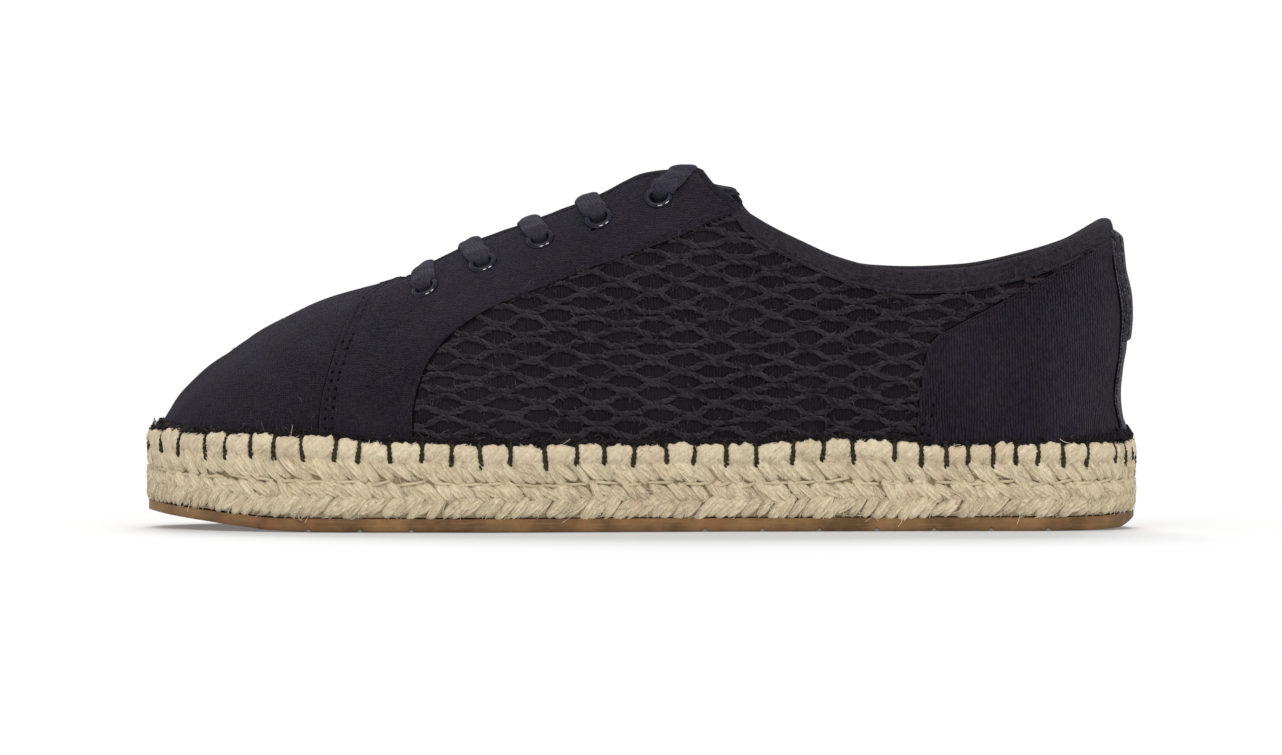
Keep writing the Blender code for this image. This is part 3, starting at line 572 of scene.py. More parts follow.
def weaveGroup():
    # plain weave over the cloth's own map: threads pass over and under, some thicker than others
    tree, given, result = startTree(
        "Shader", "plainWeave",
        [("Place", "Vector", None), ("Thread", "Float", 0.0006), ("Slub", "Float", 0.5),
         ("Rib", "Float", 0.0)],
        [("Height", "Float"), ("Tone", "Float")],
    )
    place = given["Place"]
    wander = noiseOf(tree, place, 260.0, 1.0)
    straying = calc(tree, "MULTIPLY_ADD", given["Rib"], -0.0003, 0.00035)
    split = addNode(tree, "ShaderNodeSeparateXYZ", {0: place})
    sides = []
    for axis in (0, 1):
        bent = calc(tree, "MULTIPLY_ADD", wander, straying, split.outputs[axis])
        sides.append(calc(tree, "DIVIDE", bent, given["Thread"]))
    crossing = [calc(tree, "FLOOR", s) for s in sides]
    parity = calc(tree, "MODULO", calc(tree, "ADD", crossing[0], crossing[1]), 2.0)
    parity = calc(tree, "ABSOLUTE", parity)
    backs = [calc(tree, "SINE", calc(tree, "MULTIPLY", calc(tree, "FRACT", s), math.pi)) for s in sides]
    plain = calc(tree, "SUBTRACT", 1.0, given["Rib"])
    under = calc(tree, "MULTIPLY", calc(tree, "MULTIPLY_ADD", parity, -0.55, 0.55), plain)
    warp = calc(tree, "MULTIPLY", backs[0], calc(tree, "SUBTRACT", 1.0, under))
    weft = calc(tree, "MULTIPLY", backs[1], calc(tree, "MULTIPLY_ADD", parity, -0.55, 1.0))
    weft = calc(tree, "MULTIPLY", weft, plain)
    weave = calc(tree, "MAXIMUM", warp, weft)
    slubWarp = noiseOf(tree, place, 1.0, 2.0, 0.6, stretch=(1450.0, 380.0, 1.0))
    slubWeft = noiseOf(tree, place, 1.0, 2.0, 0.6, stretch=(380.0, 1450.0, 1.0))
    slubWeft = calc(tree, "MULTIPLY", slubWeft, calc(tree, "MULTIPLY_ADD", given["Rib"], -0.5, 1.0))
    slub = calc(tree, "MULTIPLY_ADD", calc(tree, "MAXIMUM", slubWarp, slubWeft), 3.4, -1.75)
    height = calc(tree, "MULTIPLY_ADD", slub, given["Slub"], weave)
    tree.links.new(height, result["Height"])
    speckle = calc(tree, "MULTIPLY_ADD", noiseOf(tree, place, 1100.0, 2.0, 0.7), 0.9, -0.45)
    slubShare = calc(tree, "MULTIPLY_ADD", given["Rib"], -0.55, 0.75)
    weaveShare = calc(tree, "MULTIPLY_ADD", given["Rib"], 0.45, 0.45)
    tone = calc(tree, "MULTIPLY_ADD", slub, slubShare, calc(tree, "MULTIPLY", weave, weaveShare))
    tree.links.new(calc(tree, "ADD", tone, speckle), result["Tone"])
    return tree


def fibreGroup():
    # fine fibres that run along the first axis of the place given
    tree, given, result = startTree(
        "Shader", "fibreStreaks",
        [("Place", "Vector", None), ("Across", "Float", 2600.0), ("Along", "Float", 190.0)],
        [("Height", "Float"), ("Tone", "Float")],
    )
    scale = addNode(tree, "ShaderNodeCombineXYZ", {0: given["Along"], 1: given["Across"], 2: given["Across"]})
    place = calcVector(tree, "MULTIPLY", given["Place"], scale.outputs[0])
    fine = noiseOf(tree, place, 1.0, 3.0, 0.6, distortion=0.4)
    broad = noiseOf(tree, place, 0.35, 2.0, 0.5)
    height = calc(tree, "ADD", calc(tree, "MULTIPLY", fine, 0.6), calc(tree, "MULTIPLY", broad, 0.6))
    tree.links.new(height, result["Height"])
    tree.links.new(remap(tree, height, 0.35, 0.85), result["Tone"])
    return tree


def wearGroup():
    # slow clouds of rubbed and faded cloth, with sparse pale specks of lint
    tree, given, result = startTree(
        "Shader", "wearAndLint",
        [("Place", "Vector", None), ("Cloud", "Float", 38.0), ("Lint", "Float", 1.0)],
        [("Cloud", "Float"), ("Lint", "Float")],
    )
    cloud = noiseOf(tree, given["Place"], given["Cloud"], 4.0, 0.55)
    tree.links.new(remap(tree, cloud, 0.3, 0.7), result["Cloud"])
    warped = noiseOf(tree, given["Place"], 420.0, 2.0, 0.5, distortion=2.4)
    line = calc(tree, "SUBTRACT", 0.018, calc(tree, "ABSOLUTE", calc(tree, "SUBTRACT", warped, 0.5)))
    patches = remap(tree, noiseOf(tree, given["Place"], 130.0, 2.0, 0.6), 0.58, 0.74)
    lint = calc(tree, "MULTIPLY", calc(tree, "MULTIPLY", line, 55.0, clamp=True), patches, clamp=True)
    tree.links.new(calc(tree, "MULTIPLY", lint, given["Lint"]), result["Lint"])
    return tree


groups = {"weave": weaveGroup(), "fibre": fibreGroup(), "wear": wearGroup()}


def useGroup(tree, name, inputs):
    return addNode(tree, "ShaderNodeGroup", inputs, node_tree=groups[name]).outputs


def startMaterial(name, roughness, specular, sheen=0.0, sheenTint=(1, 1, 1), sheenRoughness=0.5,
                  coat=0.0):
    made = bpy.data.materials.new(name)
    made.use_nodes = True
    tree = made.node_tree
    shader = tree.nodes["Principled BSDF"]
    values = {"Roughness": roughness, "Specular IOR Level": specular, "Sheen Weight": sheen,
              "Sheen Roughness": sheenRoughness, "Sheen Tint": (*sheenTint, 1), "Coat Weight": coat}
    for socket, value in values.items():
        shader.inputs[socket].default_value = value
    return made, tree, shader


def finishShader(tree, shader, colour, roughness, height, depth):
    bump = addNode(tree, "ShaderNodeBump", {"Height": height, "Strength": 1.0, "Distance": depth}).outputs[0]
    for socket, value in (("Base Color", colour), ("Roughness", roughness), ("Normal", bump)):
        tree.links.new(value, shader.inputs[socket])


def placeOf(tree, kind="UV"):
    return addNode(tree, "ShaderNodeTexCoord").outputs[kind]


def clothMaterial(name, dark, pale, thread=0.0006, slub=0.5, bump=0.00022, lint=1.0, specular=0.05,
                  sheen=0.07, cloud=0.35, turn=0.0, rib=0.0, mottle=0.5, contrast=1.0):
    # woven cloth: dark and pale threads, rubbed and faded in clouds, with a cool and a warm cast in patches
    made, tree, shader = startMaterial(name, 0.92, specular, sheen, (0.85, 0.86, 1.0), 0.4)
    place, room = placeOf(tree), placeOf(tree, "Object")
    if turn:
        place = addNode(tree, "ShaderNodeMapping", {"Vector": place, "Rotation": (0, 0, turn)}).outputs[0]
    weave = useGroup(tree, "weave", {"Place": place, "Thread": thread, "Slub": slub, "Rib": rib})
    wear = useGroup(tree, "wear", {"Place": room, "Lint": lint})
    tone = remap(tree, weave["Tone"], 0.45 - 0.55 / contrast, 0.45 + 0.55 / contrast)
    base = mixColours(tree, tone, dark, pale)
    faded = tuple(min(1, c * (1 + cloud)) for c in pale)
    base = mixColours(tree, calc(tree, "MULTIPLY", wear["Cloud"], 0.45), base, faded)
    cool = mixColours(tree, 1.0, base, (0.86, 0.97, 1.16), "MULTIPLY")
    warm = mixColours(tree, 1.0, base, (1.16, 0.97, 0.96), "MULTIPLY")
    patches = remap(tree, noiseOf(tree, room, 120.0, 3.0, 0.6), 0.38, 0.62)
    base = mixColours(tree, mottle, base, mixColours(tree, patches, cool, warm))
    base = mixColours(tree, calc(tree, "MULTIPLY", wear["Lint"], 0.5), base, (0.12, 0.115, 0.12))
    roughness = remap(tree, weave["Height"], 0.2, 1.0, 0.98, 0.84)
    finishShader(tree, shader, base, roughness, weave["Height"], bump)
    return made


def yarnMaterial(name, dark, pale, across=2600.0, along=190.0, bump=0.00018, toneShare=0.5, specular=0.15,
                 sheen=0.08):
    # spun yarn: fibres along the strand, and each strand a little lighter or darker than the next
    made, tree, shader = startMaterial(name, 0.9, specular, sheen, (0.95, 0.93, 0.9), 0.4)
    fibre = useGroup(tree, "fibre", {"Place": placeOf(tree, "Object"), "Across": across, "Along": along})
    tone = addNode(tree, "ShaderNodeAttribute", attribute_name="tone").outputs["Fac"]
    share = calc(tree, "MULTIPLY_ADD", tone, toneShare, calc(tree, "MULTIPLY", fibre["Tone"], 1 - toneShare))
    roughness = remap(tree, fibre["Height"], 0.2, 0.9, 0.95, 0.78)
    finishShader(tree, shader, mixColours(tree, share, dark, pale), roughness, fibre["Height"], bump)
    return made


def juteMaterial():
    # bleached bast yarn: pale fibres with ruddy patches and a few bright hairs
    made, tree, shader = startMaterial("juteStrand", 0.9, 0.12, 0.08, (1.0, 0.97, 0.9), 0.5)
    spot, room = placeOf(tree), placeOf(tree, "Object")
    tone = addNode(tree, "ShaderNodeAttribute", attribute_name="tone").outputs["Fac"]
    shift = addNode(tree, "ShaderNodeCombineXYZ", {0: tone, 1: calc(tree, "MULTIPLY", tone, 3.7)}).outputs[0]
    spot = calcVector(tree, "ADD", spot, shift)
    fibre = useGroup(tree, "fibre", {"Place": spot, "Across": 2500.0, "Along": 260.0})
    fuzz = noiseOf(tree, room, 1150.0, 3.0, 0.7, distortion=0.9)
    patches = noiseOf(tree, room, 75.0, 3.0, 0.6)
    share = calc(tree, "MULTIPLY_ADD", tone, 0.25, calc(tree, "MULTIPLY", fibre["Tone"], 0.62))
    share = calc(tree, "ADD", share, remap(tree, fuzz, 0.3, 0.7, -0.26, 0.26))
    base = mixColours(tree, share, (0.49, 0.392, 0.252), (0.88, 0.768, 0.568))
    base = mixColours(tree, remap(tree, patches, 0.54, 0.76, 0, 0.5), base, (0.60, 0.415, 0.285))
    hairs = noiseOf(tree, spot, 1.0, 2.0, 0.5, stretch=(300.0, 5200.0, 1.0))
    base = mixColours(tree, remap(tree, hairs, 0.66, 0.8, 0, 0.65), base, (0.86, 0.79, 0.63))
    roughness = remap(tree, fibre["Height"], 0.2, 0.9, 0.96, 0.8)
    height = calc(tree, "MULTIPLY_ADD", fuzz, 0.5, fibre["Height"])
    finishShader(tree, shader, base, roughness, height, 0.0006)
    return made


def rubberMaterial():
    made, tree, shader = startMaterial("gumRubber", 0.6, 0.22)
    room = placeOf(tree, "Object")
    cloud = noiseOf(tree, room, 70.0, 4.0, 0.6)
    streak = noiseOf(tree, room, 1.0, 3.0, 0.6, stretch=(90.0, 90.0, 1600.0))
    grain = noiseOf(tree, room, 1500.0, 2.0, 0.6)
    base = mixColours(tree, remap(tree, cloud, 0.36, 0.64), (0.112, 0.060, 0.025), (0.250, 0.138, 0.058))
    base = mixColours(tree, remap(tree, streak, 0.52, 0.8, 0, 0.55), base, (0.30, 0.185, 0.090))
    ruddy = noiseOf(tree, room, 150.0, 2.0, 0.5)
    base = mixColours(tree, remap(tree, ruddy, 0.56, 0.7, 0, 0.5), base, (0.250, 0.105, 0.050))
    height = calc(tree, "ADD", calc(tree, "MULTIPLY", streak, 0.6), grain)
    finishShader(tree, shader, base, remap(tree, grain, 0.3, 0.7, 0.48, 0.72), height, 0.00012)
    return made


def enamelMaterial():
    made, tree, shader = startMaterial("eyeletEnamel", 0.2, 0.05, coat=0.55)
    room = placeOf(tree, "Object")
    scuffs = noiseOf(tree, room, 900.0, 3.0, 0.6, distortion=1.0)
    base = mixColours(tree, remap(tree, scuffs, 0.45, 0.75), (0.003, 0.003, 0.009), (0.012, 0.012, 0.028))
    finishShader(tree, shader, base, remap(tree, scuffs, 0.4, 0.75, 0.12, 0.30), scuffs, 0.00003)
    return made


finishes = {
    "canvas": clothMaterial("navyCanvas", (0.0028, 0.0023, 0.0037), (0.027, 0.0222, 0.0312), slub=0.9,
                            bump=0.0004),
    "facing": clothMaterial("facingCanvas", (0.0028, 0.0023, 0.0038), (0.028, 0.023, 0.032), turn=0.05,
                            slub=0.9, bump=0.0004),
    "heel": clothMaterial("ribbedCanvas", (0.0022, 0.0018, 0.003), (0.027, 0.022, 0.031), thread=0.0008,
                          slub=0.8, rib=0.65, bump=0.0005, contrast=1.5),
    # the heel strip and pull tab: their tone, paler than the canvas, is painted highlight on their rolled
    # folds
    "band": clothMaterial("heelWebbing", (0.005, 0.0044, 0.006), (0.043, 0.0385, 0.045), slub=0.8,
                          bump=0.0005, sheen=0.30),
    "underNet": clothMaterial("ribbedLining", (0.0042, 0.0031, 0.0038), (0.0195, 0.0148, 0.0176),
                              thread=0.0009, slub=0.3, lint=0.3, rib=0.5, mottle=0.2),
    "lining": clothMaterial("innerLining", (0.012, 0.013, 0.012), (0.036, 0.038, 0.036), thread=0.0005,
                            slub=0.3, lint=0.4),
    "tape": clothMaterial("bindingTape", (0.0054, 0.0047, 0.0062), (0.046, 0.0405, 0.0475), thread=0.00055,
                          slub=0.9, bump=0.00042, sheen=0.08, contrast=1.2),
    "sock": clothMaterial("insoleCloth", (0.30, 0.24, 0.16), (0.52, 0.44, 0.32), thread=0.0009, slub=0.5,
                          lint=0.0, specular=0.2, cloud=0.2, mottle=0.15),
    "lace": clothMaterial("laceCotton", (0.0102, 0.0096, 0.0134), (0.049, 0.0462, 0.0605), thread=0.0007,
                          slub=0.6, bump=0.0003, turn=0.785, mottle=0.3),
    "net": yarnMaterial("netYarn", (0.0062, 0.0048, 0.006), (0.053, 0.0425, 0.0505), across=2600, along=900,
                        bump=0.0005, specular=0.03, sheen=0.10),
    "netHair": yarnMaterial("netFuzz", (0.01, 0.008, 0.0095), (0.105, 0.089, 0.098), toneShare=0.85,
                            specular=0.03),
    "thread": yarnMaterial("seamThread", (0.006, 0.005, 0.0075), (0.026, 0.0225, 0.029), specular=0.08,
                           sheen=0.03),
    # near-black yarn of painted shade, for the needle holes and the lines under panel edges
    "needleHole": yarnMaterial("needleHole", (0.0022, 0.0018, 0.0026), (0.0065, 0.0055, 0.0075), specular=0.0,
                               sheen=0.0),
    "blanket": yarnMaterial("blanketThread", (0.009, 0.0065, 0.004), (0.072, 0.055, 0.034),
                            specular=0.06, sheen=0.03),
    "edge": yarnMaterial("turnedEdge", (0.005, 0.004, 0.005), (0.038, 0.03, 0.034), specular=0.04,
                         sheen=0.03),
    "core": yarnMaterial("juteCore", (0.30, 0.225, 0.130), (0.52, 0.420, 0.270), specular=0.02, sheen=0.0),
    "yarn": yarnMaterial("juteYarn", (0.36, 0.275, 0.165), (0.74, 0.63, 0.44), bump=0.0004, specular=0.08,
                         sheen=0.05),
    "hair": yarnMaterial("juteHair", (0.36, 0.28, 0.16), (0.92, 0.83, 0.66), toneShare=0.75),
    "lint": yarnMaterial("clothLint", (0.018, 0.014, 0.014), (0.16, 0.145, 0.14), toneShare=0.75),
    "jute": juteMaterial(),
    "rubber": rubberMaterial(),
    "enamel": enamelMaterial(),
}
print("materials made")


# the upper
upper = {"columns": 350, "rows": 70}


def makeUpper():
    points, faces, uv, parts = [], [], [], []
    ways = np.unique(np.concatenate([np.linspace(0, 1, upper["columns"]), [wayTo(throat["from"])]]))
    rows = np.linspace(0, 1, upper["rows"])
    count = 0
    for side in (outer, inner):
        share = rimShare(side, ways)[:, None] * rows[None, :]
        found, _, cloth = onLast(side, ways[:, None], share)
        quads = np.array(gridQuads(len(ways), len(rows)))
        quads = quads[clearOfHoles(found, quads, eyeletHoles(side))]
        centre = found.reshape(-1, 3)[quads].mean(1)
        seam = eyestayFront(np.clip(centre[:, 2], 26, 76)) + 6
        parts += np.where(centre[:, 0] < seam, 0, 1).tolist()
        if side == outer:
            quads = quads[:, ::-1]
        faces += (quads + count).tolist()
        points.append(found.reshape(-1, 3))
        uv.append(cloth.reshape(-1, 2))
        count += len(points[-1])
    slots = [finishes["canvas"], finishes["underNet"], finishes["lining"], finishes["lining"]]
    piece = makePiece("upper", np.concatenate(points), faces, slots, np.concatenate(uv), parts, outward=True)
    skin = piece.modifiers.new("wall", "SOLIDIFY")
    skin.thickness, skin.offset, skin.use_even_offset = wall["thick"] * mm, -1, False
    skin.material_offset, skin.material_offset_rim = 2, 2
    settle(piece)
    corners = np.zeros(len(piece.data.vertices) * 3)
    piece.data.vertices.foreach_get("co", corners)
    corners = corners.reshape(-1, 3)
    floor = (ropeTop(corners[:, 0] / mm) + sole["footGap"]) * mm
    corners[:, 2] = np.maximum(corners[:, 2], floor)
    piece.data.vertices.foreach_set("co", corners.ravel())
    piece.data.update()
    return finishPiece(piece, "canvas", "upper")


def eyeletSeat(number, side):
    x, z, _ = eyelets[number]
    way = wayTo(x)
    share = shareAtHeight(side, way, z)
    point, normal, _ = onLast(side, way, share)
    return point, normal, float(way), float(share)


def eyeletHoles(side):
    return [eyeletSeat(number, side)[0] for number in range(len(eyelets))]


def clearOfHoles(points, quads, holes):
    # which faces of a grid lie clear of the eyelets' holes
    centre = points.reshape(-1, 3)[quads].mean(1)
    keep = np.ones(len(quads), bool)
    for hole in holes:
        keep &= np.linalg.norm(centre - hole, axis=1) > wall["eyeletHole"]
    return keep


# panels sewn on the upper: eyestays and heel counters
def edgeSteps(count, length, near=(0.0, 0.12, 0.3, 0.55, 0.9, 1.4)):
    near = np.array(near) / length
    return np.concatenate([near, np.linspace(near[-1], 1 - near[-1], count)[1:-1], 1 - near[::-1]])


def seamPath(table, rows):
    x = np.interp(rows, np.linspace(0, 1, len(table["keys"])), table["keys"])
    return x, table["z"](x)


def belowRim(side, way, drop):
    rim = rimShare(side, way)
    rimZ = readLast(side, way, rim)[..., 2]
    return shareAtHeight(side, way, rimZ - drop) / rim


def panelGrid(side, front, rear, rows, columns, drop):
    # ways and shares over a panel; front and rear are (x, share of the wall) from the rope up
    u, w = columns[:, None], rows[None, :]
    way = wayTo(front[0])[None, :] * (1 - u) + wayTo(rear[0])[None, :] * u
    share = front[1][None, :] * (1 - u) + rear[1][None, :] * u
    foot = front[1][0] * (1 - u) + rear[1][0] * u
    top = front[1][-1] * (1 - u) + rear[1][-1] * u
    share = share + w * (belowRim(side, way, drop) - top) - (1 - w) * foot
    return way, np.clip(share, 0, 1) * rimShare(side, way)


def fromEdges(points):
    # each grid point's distance to each of the grid's four edges
    across, up = distanceAlong(points, 0), distanceAlong(points, 1)
    return across, across[-1] - across, up, up[:, -1:] - up


def rolled(distance, radius):
    t = 1 - np.clip(distance / radius, 0, 1)
    return np.sqrt(np.clip(1 - t * t, 0, 1))


seamLines, edgeShadeLines = [], []


def keepSeam(points, normals, distances, at, holeShare):
    # where a grid's lines are that far from an edge, as one line of points, outward directions and hole size
    line = [[np.interp(at, d, p[:, k]) for k in range(3)] for d, p in zip(distances, points)]
    out = [[np.interp(at, d, n[:, k]) for k in range(3)] for d, n in zip(distances, normals)]
    seamLines.append((np.array(line), np.array(out), holeShare))


def keepEdge(points, normals, inside, width, clear=2.5, lift=0.2):
    # a dark line of painted shade at the foot of a panel's edge, where the cloth below it falls into shadow
    away = unit(points - inside)
    low = last["crown"](points[:, 0]) - points[:, 2] > clear
    edgeShadeLines.append(((points + 0.1 * away + (lift + 0.35 * width) * normals)[low], width))


def clothPanel(name, side, way, share, roll, seams, finish, holes=(), thin=None):
    # a panel with rolled edges; seams are (which edge, distance, depth) of the furrows its stitches pull in
    base, thick = wall["overlayGap"], wall["overlayThick"]
    flat, normal, cloth = onLast(side, way, share)
    edges = fromEdges(flat)
    near = np.minimum.reduce([edges[0], edges[1], edges[2] + 0.4, edges[3]])
    lift = base + thick * rolled(near, roll)
    for edge, distance, depth in seams:
        lift -= depth * np.exp(-(((edges[edge] - distance) / 0.6) ** 2))
    lift += 0.09 * softNoise(flat, 7, 21 + side)
    if thin is not None:
        lift = lift * thin(flat)
    top = flat + normal * lift[..., None]
    under = flat + normal * base * (1 if thin is None else thin(flat)[..., None] * 0.5)
    for edge, distance, depth in seams:
        grids = [g if edge > 1 else np.swapaxes(g, 0, 1) for g in (top, normal, edges[edge])]
        keepSeam(*[g[:, ::-1] if edge % 2 else g for g in grids], distance, 0.35 if edge % 2 else 1.0)
    # dark lines of painted shade along the front edge, and along the top edge or the rear edge
    keepEdge(flat[0], normal[0], flat[4], 0.75 if thin is None else 0.38)
    if thin is None:
        keepEdge(flat[:, -1], normal[:, -1], flat[:, -5], 1.2)
    else:
        keepEdge(flat[-1], normal[-1], flat[-5], 2.1)
    keep = clearOfHoles(flat, gridQuads(*way.shape), holes)
    return makeSheet(name, under, top, cloth, finish, keep)


# low and high are the heights it runs between; wide and tall are its rough size, for the steps of its grid
eyestay = {"columns": 74, "rows": 96, "wide": 45, "tall": 90, "low": 26, "high": 74, "roll": 0.9, "seam": 1.9,
           "secondSeam": 4.2, "furrow": 0.30}


def seamOnWall(table, rows):
    # a seam's stations, and its share of the wall's height at each
    x, z = seamPath(table, rows)
    return x, shareAtHeight(outer, wayTo(x), z) / rimShare(outer, wayTo(x))


def eyestayEdges(rows):
    z = eyestay["low"] + (eyestay["high"] - eyestay["low"]) * rows
    frontX = eyestayFront(z)
    return (frontX, shareAtHeight(outer, wayTo(frontX), z)), seamOnWall(eyestayRear, rows)


def thinAtVamp(points):
    # the facing's front corner is pared thin, so it lies flush on the crown of the vamp
    crown = last["crown"](points[..., 0]) - points[..., 2]
    return 1 - 0.88 * smoothStep(-points[..., 0], 58, 70) * (1 - smoothStep(crown, 0.4, 3.0))


def makeEyestay(side):
    rows = edgeSteps(eyestay["rows"], eyestay["tall"])
    columns = edgeSteps(eyestay["columns"], eyestay["wide"])
    front, rear = eyestayEdges(rows)
    way, share = panelGrid(side, front, rear, rows, columns, 0.1)
    furrow = eyestay["furrow"]
    seams = [(edge, eyestay[at], furrow) for edge in (0, 1) for at in ("seam", "secondSeam")]
    piece = clothPanel("eyestay" + sideNames[side], side, way, share, eyestay["roll"],
                       seams + [(3, 2.2, furrow * 0.8)], finishes["facing"], eyeletHoles(side), thinAtVamp)
    return finishPiece(piece, "canvas", "eyestay_" + nodeSides[side])


# rear is how far from the heel's middle the two counters stop, under the strip
counter = {"columns": 80, "rows": 64, "wide": 75, "tall": 55, "low": 26.5, "high": 84, "rear": 5.0,
           "roll": 0.9, "seam": 1.9, "secondSeam": 4.0, "furrow": 0.28}


def heelWay(side, z, y):
    # where round the heel the last is y wide at a height
    z, y = matched(z, np.abs(y))
    low = np.full(z.shape, wayTo(sole["length"] / 2 - 30))
    high = np.ones(z.shape)
    for _ in range(26):
        middle = (low + high) / 2
        wide = np.abs(readLast(side, middle, shareAtHeight(side, middle, z))[..., 1]) > y
        low, high = np.where(wide, middle, low), np.where(wide, high, middle)
    return (low + high) / 2


def makeCounter(side):
    rows = edgeSteps(counter["rows"], counter["tall"])
    columns = edgeSteps(counter["columns"], counter["wide"])
    front = seamOnWall(counterFront, rows)
    z = counter["low"] + (counter["high"] - counter["low"]) * rows
    ways = heelWay(side, z, counter["rear"])
    rear = stationAt(ways), shareAtHeight(side, ways, z) / rimShare(side, ways)
    way, share = panelGrid(side, front, rear, rows, columns, binding["height"] - 1.0)
    seams = [(0, counter[at], counter["furrow"]) for at in ("seam", "secondSeam")]
    name = "counter" + sideNames[side]
    piece = clothPanel(name, side, way, share, counter["roll"], seams, finishes["heel"])
    return finishPiece(piece, "canvas", "counter_" + nodeSides[side])


def heelSurface(y, z, lift):
    y, z, lift = matched(y, z, lift)
    points, normals = np.zeros(y.shape + (3,)), np.zeros(y.shape + (3,))
    for side in (outer, inner):
        mask = (y < 0) if side == outer else (y >= 0)
        if mask.any():
            way = heelWay(side, z[mask], y[mask])
            found, normal, _ = onLast(side, way, shareAtHeight(side, way, z[mask]))
            points[mask], normals[mask] = found, normal
    normals[..., 1] *= smoothStep(np.abs(y), 0, 2.5)
    return points + unit(normals) * lift[..., None]


# they run from low to high; base is the lift of the under side, under the lift of the shadow lines at the
# edges (0 for none), belly swells the middle and fade is how far down the upper end is thinned
heelStrip = {"half": 10.5, "low": 27.4, "high": 84.5, "base": 0.2, "thick": 2.1, "roll": 1.3, "rows": 60,
             "under": 1.45, "belly": 0.0, "fade": 0.0}
pullTab = {"half": 8.7, "low": 54.0, "high": 86.9, "base": 0.3, "thick": 3.0, "roll": 2.0, "rows": 46,
           "under": 0, "belly": 0.5, "fade": 3.0}


def heelBand(name, half, low, high, base, thick, roll, rows, under, belly, fade):
    # a band up the back seam
    ys = half * (2 * edgeSteps(22, 2 * half) - 1)
    zs = low + (high - low) * edgeSteps(rows, high - low)
    y, z = np.meshgrid(ys, zs)
    flat = heelSurface(y, z, base)
    edges = fromEdges(flat)
    near = np.minimum.reduce(edges)
    share = np.clip((z - low) / (high - low), 0, 1)
    rise = thick * rolled(near, roll) + belly * np.sin(math.pi * share) ** 0.7
    if fade:
        rise *= 0.4 + 0.6 * smoothStep(high - z, 0, fade)
    for edge in (2, 3):
        rise -= 0.30 * np.exp(-(((edges[edge] - 1.6) / 0.5) ** 2))
    rise += 0.10 * softNoise(flat, 9, 33)
    top = heelSurface(y, z, base + np.maximum(rise, 0.05))
    out = heelSurface(y, z, 1.0) - heelSurface(y, z, 0.0)
    for edge in (2, 3):
        keepSeam(*[g[:, ::-1] if edge == 3 else g for g in (top, out, edges[edge])], 1.6, 0.5)
    # dark lines of painted shade along both long edges, where the strip lies over the counters
    for line, inside in ((0, 4), (-1, -5)) if under else ():
        keepEdge(flat[:-9, line], out[:-9, line], flat[:-9, inside], 1.1, -99, under - base)
    return makeSheet(name, flat, top, np.stack([y, z], -1) * mm, finishes["band"])


makeUpper()
for side in (outer, inner):
    makeEyestay(side)
    makeCounter(side)
finishPiece(heelBand("heelStrip", **heelStrip), "canvas", "heel_strip")
finishPiece(heelBand("pullTab", **pullTab), "binding_tape", "pull_tab")
print("upper made")


# Geometry Nodes: cords along paths, and stamps set on points
def attributeOf(tree, name, kind="FLOAT"):
    found = addNode(tree, "GeometryNodeInputNamedAttribute", {"Name": name}, data_type=kind)
    return found.outputs["Attribute"]


def endNodes(tree, geometry, material, result):
    whole = addNode(tree, "GeometryNodeRealizeInstances", {"Geometry": geometry})
    smooth = addNode(tree, "GeometryNodeSetShadeSmooth", {"Geometry": whole.outputs[0]})
    painted = addNode(tree, "GeometryNodeSetMaterial", {"Geometry": smooth.outputs[0], "Material": material})
    tree.links.new(painted.outputs[0], result[0])


def cordTree():
    # round cords along wire paths; width is each point's own share of the thickness
    tree, given, result = startTree(
        "Geometry", "cordAlongPath",
        [("Geometry", "Geometry", None), ("Thickness", "Float", 0.001), ("Sides", "Int", 6),
         ("Waver", "Float", 0.0), ("Waver Size", "Float", 400.0), ("Seed", "Float", 0.0),
         ("Material", "Material", None)],
        [("Geometry", "Geometry")],
    )
    place = addNode(tree, "GeometryNodeInputPosition").outputs[0]
    inputs = {"Vector": place, "W": given["Seed"], "Scale": given["Waver Size"], "Detail": 2.0}
    waver = addNode(tree, "ShaderNodeTexNoise", inputs, noise_dimensions="4D").outputs["Color"]
    shift = calcVector(tree, "SCALE", calcVector(tree, "ADD", waver, (-0.5, -0.5, -0.5)), given["Waver"])
    moved = addNode(tree, "GeometryNodeSetPosition", {"Geometry": given["Geometry"], "Offset": shift})
    curve = addNode(tree, "GeometryNodeMeshToCurve", {"Mesh": moved.outputs[0]})
    inputs = {"Curve": curve.outputs[0], "Radius": attributeOf(tree, "width")}
    sized = addNode(tree, "GeometryNodeSetCurveRadius", inputs)
    half = calc(tree, "MULTIPLY", given["Thickness"], 0.5)
    ring = addNode(tree, "GeometryNodeCurvePrimitiveCircle", {"Resolution": given["Sides"], "Radius": half})
    inputs = {"Curve": sized.outputs[0], "Profile Curve": ring.outputs[0], "Fill Caps": True}
    skin = addNode(tree, "GeometryNodeCurveToMesh", inputs)
    endNodes(tree, skin.outputs[0], given["Material"], result)
    return tree


